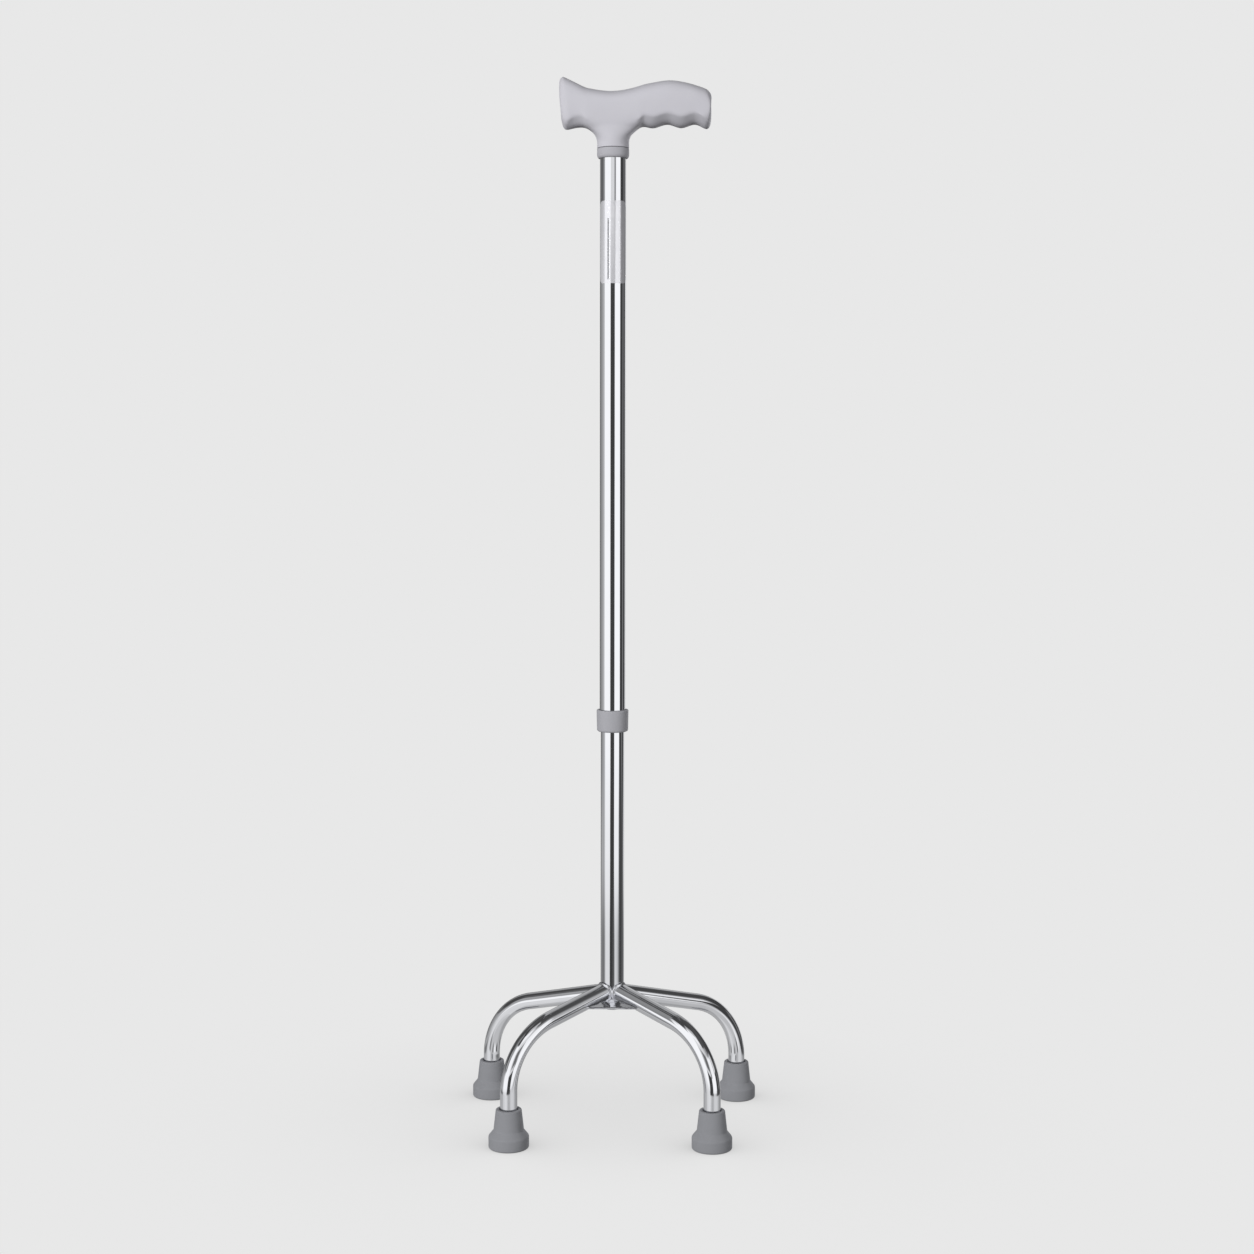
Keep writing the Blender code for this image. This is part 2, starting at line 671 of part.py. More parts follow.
def leg_path(pair):
    """Centre line of a leg from the shaft outwards, as (distance, height above its root, lean of the tube's
    section, how much the bend has flattened its inner side)."""
    reach = FRONT_REACH if pair < 0 else BACK_REACH
    turn = math.pi / 2 - LEG_SLOPE
    centre = reach - LEG_BEND_RADIUS
    centre_drop = bend_start(reach) * math.tan(LEG_SLOPE) + LEG_BEND_RADIUS * math.cos(LEG_SLOPE)
    path = [(0.0, 0.0, turn, 0.0)]
    for step in range(LEG_BEND_STEPS + 1):
        share = step / LEG_BEND_STEPS
        angle = turn * (1.0 - share)
        distance = centre + LEG_BEND_RADIUS * math.cos(angle)
        height = LEG_BEND_RADIUS * math.sin(angle) - centre_drop
        path.append((distance, height, angle, LEG_BEND_FLATTENING * math.sin(math.pi * share)))
    path.append((reach, LEG_END_Z - leg_root_z(pair), 0.0, 0.0))
    return path


def make_leg(name, side, pair, chrome, frame):
    """Bent tube along its own X, turned to its foot. Its inner end is coped round the lower tube and
    mitred against its neighbours."""
    points = []
    rows = []
    for radius in (LEG_RADIUS, LEG_RADIUS - LEG_WALL):
        for distance, height, lean, flattening in leg_path(pair):
            rows.append(list(range(len(points), len(points) + LEG_SEGMENTS)))
            for step in range(LEG_SEGMENTS):
                angle = 2.0 * math.pi * step / LEG_SEGMENTS
                outwards = radius * math.cos(angle)
                if outwards < 0.0:
                    outwards *= 1.0 - flattening
                x = distance + outwards * math.cos(lean)
                points.append((x, radius * math.sin(angle), height + outwards * math.sin(lean)))
    count = len(rows) // 2
    loop = rows[:count] + list(reversed(rows[count:]))
    faces = []
    for row, after in zip(loop, loop[1:] + loop[:1]):
        for step in range(LEG_SEGMENTS):
            following = (step + 1) % LEG_SEGMENTS
            faces.append([row[step], row[following], after[following], after[step]])
    foot = foot_place(side, pair)
    turn = (0.0, 0.0, math.atan2(foot.y, foot.x))
    leg = add_object(name, mesh_of(name, points, faces), chrome, frame, (0.0, 0.0, leg_root_z(pair)), turn)
    cut(leg, leg_sector(side, pair), "INTERSECT")


def leg_sector(side, pair):
    """Prism that holds what a leg may fill: outside the lower tube, and up to the planes midway
    to the neighbouring legs."""
    own = foot_place(side, pair).normalized()
    to_pair = Vector((0.0, pair, 0.0))
    to_side = own + foot_place(side, -pair).normalized()
    inner = LOWER_TUBE_RADIUS + SEAT_GAP
    far = 2.0 * BACK_REACH + 2.0 * FRONT_REACH
    centre_angle = math.atan2(own.y, own.x)
    limits = []
    for edge in (to_pair, to_side):
        limits.append(signed_angle(math.atan2(edge.y, edge.x) - centre_angle))
    first, last = limits
    half_gap = SEAT_GAP / 2
    outline = []
    for step in range(COPE_STEPS + 1):
        share = step / COPE_STEPS
        shift = half_gap / inner * (1.0 - 2.0 * share) * math.copysign(1.0, last - first)
        outline.append(plan_point(centre_angle + first + (last - first) * share + shift, inner))
    for angle in (last, first):
        inset = half_gap / far * math.copysign(1.0, angle)
        outline.append(plan_point(centre_angle + angle - inset, far))
    top = 2.0 * leg_root_z(pair)
    return extruded("sector", [(x, y, -LEG_RADIUS) for x, y in outline], (0, 0, top))


def signed_angle(angle):
    """The same angle between -pi and pi."""
    return (angle + math.pi) % (2.0 * math.pi) - math.pi


def plan_point(angle, radius):
    return (radius * math.cos(angle), radius * math.sin(angle))


def make_gusset(name, pair, chrome, frame):
    """Flat plate between the two legs of a pair, in the plane of their centre lines."""
    direction = foot_place(1, pair).normalized()
    beside_leg = LEG_RADIUS + SEAT_GAP
    normal = Vector((-abs(direction.y), pair * direction.x, 0.0))
    stem = LOWER_TUBE_RADIUS + SEAT_GAP
    inner = direction * math.sqrt(stem**2 - beside_leg**2) + normal * beside_leg
    along = (GUSSET_REACH - abs(normal.y) * beside_leg) / abs(direction.y)
    outer = direction * along + normal * beside_leg
    start = math.atan2(inner.y, inner.x)
    span = signed_angle(math.atan2(inner.y, -inner.x) - start)
    outline = []
    for step in range(GUSSET_ARC_STEPS + 1):
        outline.append(plan_point(start + span * step / GUSSET_ARC_STEPS, stem))
    outline += [(-outer.x, outer.y), (outer.x, outer.y)]
    fall = math.tan(LEG_SLOPE) / abs(direction.y)
    surface = [(x, y, -fall * abs(y) - GUSSET_THICKNESS / 2) for x, y in outline]
    mesh = extruded(name, surface, (0, 0, GUSSET_THICKNESS))
    add_object(name, mesh, chrome, frame, (0.0, 0.0, leg_root_z(pair)))


def foot_profile():
    """Half section of a rubber foot, from the middle of its sole round to the bottom of its socket."""
    sole = FOOT_SOCKET_RADIUS + FOOT_SOLE_WALL
    waist = FOOT_SOCKET_RADIUS + FOOT_WAIST_WALL
    rim = FOOT_SOCKET_RADIUS + FOOT_RIM_WALL
    profile = [(0.0, 0.0)]
    for number in range(GROOVE_COUNT):
        radius = GROOVE_FIRST_RADIUS + number * GROOVE_PITCH
        half = GROOVE_WIDTH / 2
        profile += [
            (radius - half, 0.0),
            (radius - half / 2, GROOVE_DEPTH),
            (radius + half / 2, GROOVE_DEPTH),
            (radius + half, 0.0),
        ]
    profile += arc((sole - FOOT_SOLE_ROUND, FOOT_SOLE_ROUND), FOOT_SOLE_ROUND, -90, 0, 2)
    profile += [
        (sole, FOOT_BAND_HEIGHT),
        (sole - FOOT_BAND_INSET, FOOT_BAND_HEIGHT + FOOT_BAND_CHAMFER),
        (waist + FOOT_SHOULDER_FILLET, FOOT_SHOULDER_HEIGHT - FOOT_SHOULDER_FILLET),
        (waist, FOOT_SHOULDER_HEIGHT),
    ]
    profile += arc((rim - FOOT_RIM_ROUND, FOOT_HEIGHT - FOOT_RIM_ROUND), FOOT_RIM_ROUND, 5, 90, 2)
    lead_in = FOOT_RIM_ROUND / 2
    profile += [
        (FOOT_SOCKET_RADIUS + lead_in, FOOT_HEIGHT),
        (FOOT_SOCKET_RADIUS, FOOT_HEIGHT - lead_in),
        (FOOT_SOCKET_RADIUS, FOOT_FLOOR),
        (0.0, FOOT_FLOOR),
    ]
    return profile


def make_foot(name, side, pair, rubber, frame):
    mesh = turned(name, foot_profile(), FOOT_SEGMENTS)
    add_object(name, mesh, rubber, frame, foot_place(side, pair))


def make_foot_disc(name, side, pair, steel, frame):
    """Steel disc that keeps the tube's end from cutting through the rubber."""
    mesh = turned(name, tube_profile(LEG_RADIUS, DISC_HOLE_RADIUS, DISC_THICKNESS), FOOT_SEGMENTS)
    place = foot_place(side, pair) + Vector((0.0, 0.0, FOOT_FLOOR + SEAT_GAP))
    add_object(name, mesh, steel, frame, place)


def build():
    for old in list(bpy.data.objects):
        bpy.data.objects.remove(old, do_unlink=True)
    chrome = material("chromed_steel", (0.80, 0.80, 0.82), 0.06, 1.0)
    grip_plastic = material("grip_plastic", (0.50, 0.49, 0.53), 0.45, 0.0)
    collar_plastic = material("collar_plastic", (0.29, 0.29, 0.31), 0.50, 0.0)
    guide_plastic = material("guide_plastic", (0.05, 0.05, 0.05), 0.50, 0.0)
    rubber = material("foot_rubber", (0.17, 0.17, 0.18), 0.80, 0.0)
    steel = material("zinc_steel", (0.62, 0.62, 0.60), 0.35, 1.0)

    base = add_frame("base_frame", 0.0)
    upper = add_frame("upper_frame", UPPER_TUBE_BOTTOM_Z, base)
    button = add_frame("button_frame", BUTTON_Z, base)

    make_upper_tube(chrome, upper)
    make_collar(collar_plastic, upper)
    make_neck_ring(grip_plastic, upper)
    make_grip(grip_plastic, upper)
    make_grip_screw(steel, upper)
    make_snap_button(steel, button)
    make_lower_tube(chrome, base)
    make_guide_bush(guide_plastic, base)
    make_stem_cap(guide_plastic, base)
    make_button_spring(steel, base)
    for pair, pair_name in ((-1, "front"), (1, "back")):
        make_gusset(f"gusset_{pair_name}", pair, chrome, base)
        for side, side_name in ((-1, "left"), (1, "right")):
            name = f"{pair_name}_{side_name}"
            make_leg(f"leg_{name}", side, pair, chrome, base)
            make_foot(f"foot_{name}", side, pair, rubber, base)
            make_foot_disc(f"foot_disc_{name}", side, pair, steel, base)


build()
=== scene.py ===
"""Quad cane: the finish and fine shape of every piece, around the fixed frame of its construction.

A chromed telescopic shaft with a moulded grey T grip stands on four bent chromed legs with rubber feet.
Metres, +Z up, origin on the floor under the shaft. The grip lies along X with its nose at -X, and the
narrower pair of feet is in front, at -Y.
"""

import math

import bmesh
import bpy
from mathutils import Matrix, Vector


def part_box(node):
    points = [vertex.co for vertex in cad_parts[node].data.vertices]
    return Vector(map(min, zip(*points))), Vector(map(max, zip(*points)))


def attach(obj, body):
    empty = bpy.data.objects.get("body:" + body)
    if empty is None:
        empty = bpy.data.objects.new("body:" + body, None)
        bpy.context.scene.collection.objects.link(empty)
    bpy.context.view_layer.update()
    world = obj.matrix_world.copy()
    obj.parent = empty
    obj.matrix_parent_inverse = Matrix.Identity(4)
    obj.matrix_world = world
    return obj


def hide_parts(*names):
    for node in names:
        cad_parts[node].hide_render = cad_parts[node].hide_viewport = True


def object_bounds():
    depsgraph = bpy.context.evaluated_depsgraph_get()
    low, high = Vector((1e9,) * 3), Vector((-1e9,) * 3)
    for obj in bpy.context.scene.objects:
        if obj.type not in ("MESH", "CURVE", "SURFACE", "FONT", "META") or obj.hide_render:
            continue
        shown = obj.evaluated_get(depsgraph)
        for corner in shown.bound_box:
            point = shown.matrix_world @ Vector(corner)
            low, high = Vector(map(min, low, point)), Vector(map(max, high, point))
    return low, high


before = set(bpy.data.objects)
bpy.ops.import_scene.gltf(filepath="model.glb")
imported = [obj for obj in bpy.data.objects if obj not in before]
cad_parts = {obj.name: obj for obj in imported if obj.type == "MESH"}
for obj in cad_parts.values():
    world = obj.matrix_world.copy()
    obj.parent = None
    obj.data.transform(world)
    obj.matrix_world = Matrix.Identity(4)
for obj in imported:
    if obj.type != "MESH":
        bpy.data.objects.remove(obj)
CAD_LOW, CAD_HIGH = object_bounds()

MM = 0.001
MERGE = 0.002 * MM
ROUND_STEPS = 128
SMOOTH_ANGLE = math.radians(32)
ON_SURFACE = 0.05 * MM
FACES_OUT = 0.9
FACES_DOWN = -0.8
SEAT_GAP = 0.3 * MM

# Tubes, from the frame
UPPER_LOW, UPPER_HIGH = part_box("upper_tube")
LOWER_LOW, LOWER_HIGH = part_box("lower_tube")
UPPER_RADIUS = UPPER_HIGH.x
LOWER_RADIUS = LOWER_HIGH.x
UPPER_WALL = 0.7 * MM
LOWER_WALL = 1.0 * MM
TUBE_EDGE = 0.15 * MM

# Row of holes for the button at the back of the upper tube
BUTTON_LOW, BUTTON_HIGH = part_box("snap_button")
BUTTON_Z = (BUTTON_LOW.z + BUTTON_HIGH.z) / 2
HOLE_COUNT = 13
HOLE_PITCH = 19.05 * MM
REST_HOLE = 1
HOLE_RADIUS = 3.475 * MM
HOLE_MARGIN = 0.9 * MM

# Snap button, with a domed end
BUTTON_RADIUS = 3.175 * MM
BUTTON_FLANGE_RADIUS = 4.175 * MM
BUTTON_FLANGE = 1.0 * MM
BUTTON_CROWN = 1.2 * MM

# Screw in the back of the grip
SCREW_LOW, SCREW_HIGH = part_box("grip_screw")
SCREW_Z = (SCREW_LOW.z + SCREW_HIGH.z) / 2
SCREW_RADIUS = 1.9 * MM
SCREW_HEAD_RADIUS = 3.6 * MM
SCREW_HEAD = 1.8 * MM
SCREW_CROWN = 0.8 * MM
SCREW_SLOT = 0.9 * MM
SCREW_SLOT_DEPTH = 0.8 * MM
SCREW_POINT = 2.0 * MM
SCREW_POINT_RADIUS = 0.8 * MM

# Collar, neck ring and stem cap
COLLAR_LOW, COLLAR_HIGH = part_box("height_collar")
COLLAR_DRAFT = 0.3 * MM
COLLAR_LIP = 3.6 * MM
COLLAR_EASE = 0.3 * MM
COLLAR_TOP_ROUND = 0.8 * MM
COLLAR_BOTTOM_ROUND = 1.8 * MM
RING_LOW, RING_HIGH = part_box("neck_ring")
RING_TOP_ROUND = 0.7 * MM
RING_BOTTOM_ROUND = 1.9 * MM
RING_BOTTOM_RISE = 3.4 * MM
CAP_LOW, CAP_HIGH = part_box("stem_cap")
CAP_FLANGE = 1.6 * MM
CAP_ROUND = 0.8 * MM

# Grip, measured from the shaft's axis and from the neck's bottom end
NECK_BOTTOM_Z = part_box("grip")[0].z
GRIP_NOSE_REACH = 45.9 * MM
GRIP_END_REACH = 84.4 * MM
GRIP_HEIGHT = 60.3 * MM
GRIP_HALF_WIDTH = 15.5 * MM
GRIP_SHOULDER_DROP = 3.2 * MM
GRIP_SHOULDER_SHARE = 0.66
GRIP_SIDE_SHARE = 0.34
GRIP_BAND_HEIGHT = 8.2 * MM
GRIP_SIDE_TAPER = 0.99
GRIP_HEEL_RISE = 1.7 * MM
GRIP_END_MARGIN = 5.0 * MM
GRIP_SMOOTHING = 3
GRIP_ROUNDS = 6
NECK_RADIUS = RING_HIGH.x
NECK_FLARE = 0.5 * MM
NECK_FLARE_RISE = 7.8 * MM
NECK_END_ROUND = 0.5 * MM
SOCKET_RADIUS = UPPER_RADIUS + SEAT_GAP
NOSE_CREASE = 0.5
END_CREASE = 0.35
BAND_CREASE = 0.55

# Clear label round the front of the upper tube, and its one printed line
LABEL_LOW_Z = 728.3 * MM
LABEL_HIGH_Z = 798.0 * MM
LABEL_HALF_ANGLE = math.radians(76)
LABEL_CORNER = 5.5 * MM
LABEL_LIFT = 0.05 * MM
LABEL_THICKNESS = 0.10 * MM
KEYLINE_ANGLE = math.radians(-20.5)
KEYLINE_LOW_Z = 731.6 * MM
KEYLINE_HIGH_Z = 783.0 * MM
KEYLINE_WIDTH = 0.85 * MM
STRIP_STEP = 0.5 * MM

# Legs
LEG_RADIUS = 7.3 * MM
LEG_SLOPE = math.radians(14)
LEG_BEND_RADIUS = 58.0 * MM
LEG_BEND_FLATTENING = 0.14
LEG_UPRIGHT = {"front": 12.4 * MM, "back": 4.4 * MM}
LEG_SIDES = 64
LEG_BEND_STEPS = 40
COPE_MARGIN = 0.03 * MM
WELD_RADIUS = 1.7 * MM
WELD_STEP = 0.5 * MM
WELD_ROUNDNESS = 6

# Gusset plates
GUSSET_THICKNESS = 2.0 * MM
GUSSET_REACH = 28.0 * MM
GUSSET_EDGE = 0.5 * MM

# Rubber feet, with walls measured from the socket
FOOT_SOCKET_RADIUS = LEG_RADIUS + SEAT_GAP
FOOT_SOLE_WALL = 9.5 * MM
FOOT_SOLE_ROUND = 1.6 * MM
FOOT_BAND_HEIGHT = 9.2 * MM
FOOT_BAND_ROUND = 2.4 * MM
FOOT_SHOULDER_HEIGHT = 15.1 * MM
FOOT_SHOULDER_FILLET = 1.4 * MM
FOOT_WAIST_WALL = 5.2 * MM
FOOT_RIM_WALL = 3.4 * MM
FOOT_RIM_ROUND = 1.2 * MM
FOOT_FLOOR = 7.5 * MM
GROOVE_COUNT = 2
GROOVE_FIRST_RADIUS = 7.2 * MM
GROOVE_PITCH = 4.6 * MM
GROOVE_WIDTH = 1.6 * MM
GROOVE_DEPTH = 1.0 * MM

SIDES = {"left": -1, "right": 1}
PAIRS = {"front": -1, "back": 1}


# Selecting and modelling

def deselect():
    bpy.ops.object.select_all(action="DESELECT")


def named(name):
    """Name the object that an operator has just made."""
    made = bpy.context.object
    made.name = name
    made.data.name = name
    return made


def use(target):
    """Make one object the only one selected, and active."""
    deselect()
    target.select_set(True)
    bpy.context.view_layer.objects.active = target


def edit_mode():
    bpy.ops.object.mode_set(mode="EDIT")


def object_mode():
    bpy.ops.object.mode_set(mode="OBJECT")


def select_mesh():
    bpy.ops.mesh.select_all(action="SELECT")


def apply_place():
    """Put the active object's place, turn and scale into its mesh."""
    bpy.ops.object.transform_apply(location=True, rotation=True, scale=True)


def pick(target, kind, test):
    """In edit mode, select only the vertices, edges or faces that pass a test."""
    bpy.ops.mesh.select_mode(type=kind)
    bpy.ops.mesh.select_all(action="DESELECT")
    work = bmesh.from_edit_mesh(target.data)
    parts = {"VERT": work.verts, "EDGE": work.edges, "FACE": work.faces}[kind]
    for part in parts:
        if test(part):
            part.select_set(True)
    work.select_flush_mode()
    bmesh.update_edit_mesh(target.data)


def slice_at(place, normal, **settings):
    """In edit mode, cut the whole mesh along a plane."""
    select_mesh()
    bpy.ops.mesh.bisect(plane_co=place, plane_no=normal, **settings)


def face_outwards():
    """In edit mode, point every face of the mesh outwards."""
    select_mesh()
    bpy.ops.mesh.normals_make_consistent(inside=False)


def modify(target, kind, **settings):
    """Give an object a modifier and apply it."""
    use(target)
    modifier = target.modifiers.new(kind.lower(), kind)
    for name, value in settings.items():
        setattr(modifier, name, value)
    bpy.ops.object.modifier_apply(modifier=modifier.name)


def cut(target, cutter):
    """Cut another object out of the target, and throw that object away."""
    modify(target, "BOOLEAN", object=cutter, operation="DIFFERENCE", solver="EXACT")
    bpy.data.objects.remove(cutter)


def settle(target):
    """Put an object's place and turn into its mesh, and shade its round faces smooth."""
    use(target)
    apply_place()
    bpy.ops.object.shade_smooth_by_angle(angle=SMOOTH_ANGLE)
    return target


def finish(target, body, slot, material, *nodes):
    """Give a piece its material, the body it moves with, and the nodes it stands for."""
    target.data.materials.clear()
    target.data.materials.append(MATERIALS[material])
    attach(target, body)
    if nodes:
        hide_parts(*nodes)


def arc(centre, radius, start, end, steps):
    """Points on a circle in a profile, from one angle in degrees to another."""
    points = []
    for step in range(steps + 1):
        angle = math.radians(start + (end - start) * step / steps)
        points.append((centre[0] + radius * math.cos(angle), centre[1] + radius * math.sin(angle)))
    return points


def turned(name, profile, steps=ROUND_STEPS):
    """Turn a profile of (radius, height) about Z, as on a lathe. It closes on its first point, unless both
    of its ends lie on the axis."""
    deselect()
    bpy.ops.mesh.primitive_plane_add(enter_editmode=True)
    made = named(name)
    bpy.ops.mesh.select_mode(type="VERT")
    bpy.ops.mesh.merge(type="CENTER")
    bpy.ops.transform.translate(value=(profile[0][0], 0, profile[0][1]))
    closed = profile[0][0] > 0
    following = profile[1:] + profile[:1] if closed else profile[1:]
    for (radius, height), (next_radius, next_height) in zip(profile, following):
        shift = (next_radius - radius, 0, next_height - height)
        bpy.ops.mesh.extrude_region_move(TRANSFORM_OT_translate={"value": shift})
    select_mesh()
    bpy.ops.mesh.spin(steps=steps, angle=2 * math.pi, center=(0, 0, 0), axis=(0, 0, 1))
    select_mesh()
    bpy.ops.mesh.remove_doubles(threshold=MERGE)
    face_outwards()
    object_mode()
    return made


def rod(radius, start, end, sides=48):
    """Plain round bar between two points, for cutting."""
    axis = Vector(end) - Vector(start)
    turn = axis.to_track_quat("Z", "Y").to_euler()
    middle = (Vector(start) + Vector(end)) / 2
    deselect()
    bpy.ops.mesh.primitive_cylinder_add(
        vertices=sides, radius=radius, depth=axis.length, location=middle, rotation=turn
    )
    return named("rod")


def copied(source, name, shift):
    """Copy a piece with its own mesh, moved by a shift."""
    use(source)
    bpy.ops.object.duplicate(linked=False)
    made = named(name)
    bpy.ops.transform.translate(value=shift)
    return settle(made)


# Materials

# A noise seldom leaves this range
NOISE_LOW = 0.3
NOISE_HIGH = 0.7


def linear(colour):
    """An sRGB hex colour as the linear RGBA that a socket takes."""
    channels = [int(colour[at : at + 2], 16) / 255 for at in (1, 3, 5)]
    return (*[c / 12.92 if c <= 0.04045 else ((c + 0.055) / 1.055) ** 2.4 for c in channels], 1.0)


def add_node(tree, kind, inputs=None, **settings):
    """Add a shader node, with its settings, and its inputs set or linked."""
    node = tree.nodes.new(kind)
    for name, value in settings.items():
        setattr(node, name, value)
    for key, value in (inputs or {}).items():
        if isinstance(value, bpy.types.NodeSocket):
            tree.links.new(value, node.inputs[key])
        else:
            node.inputs[key].default_value = value
    return node


def noise(tree, place, size, detail, stretch=(1, 1, 1)):
    """Noise whose lumps are one size across, drawn out along an axis where its stretch is above 1."""
    scale = [1 / (size * along) for along in stretch]
    scaled = add_node(tree, "ShaderNodeMapping", {"Vector": place, "Scale": scale}).outputs[0]
    inputs = {"Vector": scaled, "Scale": 1.0, "Detail": detail}
    return add_node(tree, "ShaderNodeTexNoise", inputs).outputs["Fac"]


def make_material(name, colours, cloud, constants, roughness=None, grain=None, bumps=()):
    """A material as its finish shows it: a cloud mixes two colours, the grain, or else the cloud, spreads
    its roughness over a range, and bumps lie on top of each other, each with its height. Cloud, grain and
    bumps are each a noise, given by its size, detail and stretch. What is the same all over is set on the
    shader's own sockets."""
    made = bpy.data.materials.new(name)
    made.use_nodes = True
    tree = made.node_tree
    tree.nodes.clear()
    place = add_node(tree, "ShaderNodeTexCoord").outputs["Object"]
    clouded = noise(tree, place, *cloud)
    first, second = [linear(colour) for colour in colours]
    mixed = add_node(tree, "ShaderNodeMix", {"Factor": clouded, 6: first, 7: second}, data_type="RGBA")
    surface = {"Base Color": mixed.outputs[2], **constants}
    if roughness:
        spread = {
            "Value": noise(tree, place, *grain) if grain else clouded,
            "From Min": NOISE_LOW,
            "From Max": NOISE_HIGH,
            "To Min": roughness[0],
            "To Max": roughness[1],
        }
        surface["Roughness"] = add_node(tree, "ShaderNodeMapRange", spread).outputs[0]
    for pattern, height in bumps:
        raised = {"Height": noise(tree, place, *pattern), "Distance": height, "Strength": 1.0}
        if "Normal" in surface:
            raised["Normal"] = surface["Normal"]
        surface["Normal"] = add_node(tree, "ShaderNodeBump", raised).outputs[0]
    shader = add_node(tree, "ShaderNodeBsdfPrincipled", surface)
    add_node(tree, "ShaderNodeOutputMaterial", {"Surface": shader.outputs[0]})
    return made


def moulded(name, colours, roughness, grain, depth, ior):
    """Moulded plastic or rubber: a slight cloudiness in its colour, a spark-eroded grain, and softer
    unevenness from shrinkage. The real grain is near 0.1 mm, and is drawn coarser here so that it shows."""
    grain = (grain, 2)
    bumps = [((6 * MM, 1), 0.03 * MM), (grain, depth)]
    return make_material(name, colours, (14 * MM, 3), {"IOR": ior}, roughness, grain, bumps)


METAL = {"Metallic": 1.0}
WELD_RIPPLES = (1.6 * MM, 1)

MATERIALS = {
    # Bright nickel-chrome plate on drawn steel tube: a clean mirror with a slight waviness left by the
    # drawing, long lines along the tube, drawn broader than they are, and a faint film from handling
    "tube": make_material(
        "chrome_on_drawn_tube",
        ("#E4E5E8", "#DCDDE1"),
        (26 * MM, 3, (1, 1, 2.5)),
        METAL,
        (0.02, 0.06),
        bumps=[((5 * MM, 1, (1, 1, 9)), 0.008 * MM), ((0.7 * MM, 1, (1, 1, 60)), 0.0006 * MM)],
    ),
    # The same plate on the legs, where bending has left the surface a little more uneven
    "leg": make_material(
        "chrome_on_bent_tube",
        ("#E4E5E8", "#DBDCE0"),
        (18 * MM, 3),
        METAL,
        (0.02, 0.07),
        bumps=[((9 * MM, 1), 0.015 * MM)],
    ),
    # Plate over flat pressed steel: less even than on tube, with shallow hollows beside the welds
    "plate": make_material(
        "chrome_on_pressed_plate",
        ("#DFE0E4", "#D2D3D8"),
        (9 * MM, 3),
        METAL,
        (0.06, 0.14),
        bumps=[((8 * MM, 1), 0.55 * MM), ((2.5 * MM, 1), 0.05 * MM)],
    ),
    # Plate over a weld bead: rippled, and duller than on tube
    "weld": make_material(
        "chrome_on_weld",
        ("#DEDFE3", "#CFD0D5"),
        WELD_RIPPLES,
        METAL,
        (0.04, 0.10),
        bumps=[(WELD_RIPPLES, 0.03 * MM)],
    ),
    # Bright zinc plate on small turned parts: grey metal with a cloudy lustre
    "steel": make_material(
        "zinc_plated_steel",
        ("#C9CAC9", "#B4B6B8"),
        (2.5 * MM, 3),
        METAL,
        (0.24, 0.42),
        bumps=[((0.8 * MM, 2), 0.01 * MM)],
    ),
    # Clear polyester label with a milky adhesive, stuck flat on the chrome: the metallic share is the
    # mirror that shows through it, and the rest is the milk that lifts its dark bands
    "label": make_material(
        "clear_label_film",
        ("#E6E6EA", "#DADADF"),
        (5 * MM, 3),
        {"Metallic": 0.54, "IOR": 1.5},
        (0.10, 0.18),
        bumps=[((4 * MM, 1, (1, 1, 3)), 0.01 * MM)],
    ),
    # Dark grey screen ink, printed flat and a little uneven in its colour
    "ink": make_material("printed_ink", ("#3F4043", "#5A5B5F"), (0.6 * MM, 2), {"Roughness": 0.6}),
    # Light grey polypropylene from a finely eroded mould: soft sheen, faint violet in the grey
    "grip": moulded(
        "moulded_grey_polypropylene", ("#BEBDC3", "#B9B8BF"), (0.42, 0.56), 0.55 * MM, 0.012 * MM, 1.49
    ),
    # The same plastic as the grip, made darker for the ring under the grip: painted shade, for the shade that
    # the grip leaves on the ring
    "ring": moulded(
        "moulded_polypropylene_painted_shade", ("#A8A8AD", "#A3A2A8"), (0.42, 0.56), 0.55 * MM, 0.012 * MM, 1.49
    ),
    # Mid grey nylon: a slightly smoother skin than the grip's
    "collar": moulded("moulded_grey_nylon", ("#A0A0A5", "#9A9A9F"), (0.40, 0.55), 0.5 * MM, 0.012 * MM, 1.5),
    # Black acetal, the slippery plastic of bushes and plugs: a waxy sheen
    "guide": moulded("moulded_black_acetal", ("#2B2B2D", "#242426"), (0.35, 0.5), 0.5 * MM, 0.01 * MM, 1.48),
    # Dark grey rubber: matt, with a coarser skin than the plastics
    "rubber": moulded("moulded_grey_rubber", ("#88898D", "#808185"), (0.62, 0.82), 0.6 * MM, 0.03 * MM, 1.52),
}


# Shaft

def keep_round(target, radius):
    """Give the outer faces of a tube the normals of a true round, also beside its holes."""
    mesh = target.data
    normals = []
    for face in mesh.polygons:
        outwards = Vector((face.center.x, face.center.y, 0)).normalized()
        on_outside = face.normal.dot(outwards) > FACES_OUT
        for number in face.vertices:
            place = mesh.vertices[number].co
            flat = Vector((place.x, place.y, 0))
            round_here = on_outside and abs(flat.length - radius) < ON_SURFACE
            normals.append(flat.normalized() if round_here else Vector((0, 0, 0)))
    mesh.normals_split_custom_set(normals)


def make_tube(name, body, low, high, radius, wall, holes):
    """Open tube with eased ends and a row of round holes in its back, each given as (height, radius)."""
    outline = [(radius - wall, low), (radius - TUBE_EDGE, low), (radius, low + TUBE_EDGE)]
    outline += [(radius, high - TUBE_EDGE), (radius - TUBE_EDGE, high), (radius - wall, high)]
    tube = turned(name, outline)
    use(tube)
    edit_mode()
    for height, hole_radius in holes:
        for level in (height - hole_radius - HOLE_MARGIN, height + hole_radius + HOLE_MARGIN):
            if low < level < high:
                slice_at((0, 0, level), (0, 0, 1))
    object_mode()
    for height, hole_radius in holes:
        cut(tube, rod(hole_radius, (0, 0, height), (0, 2 * radius, height)))
    settle(tube)
    keep_round(tube, radius)
    finish(tube, body, "chromed_steel", "tube", name.removeprefix("chromed_"))


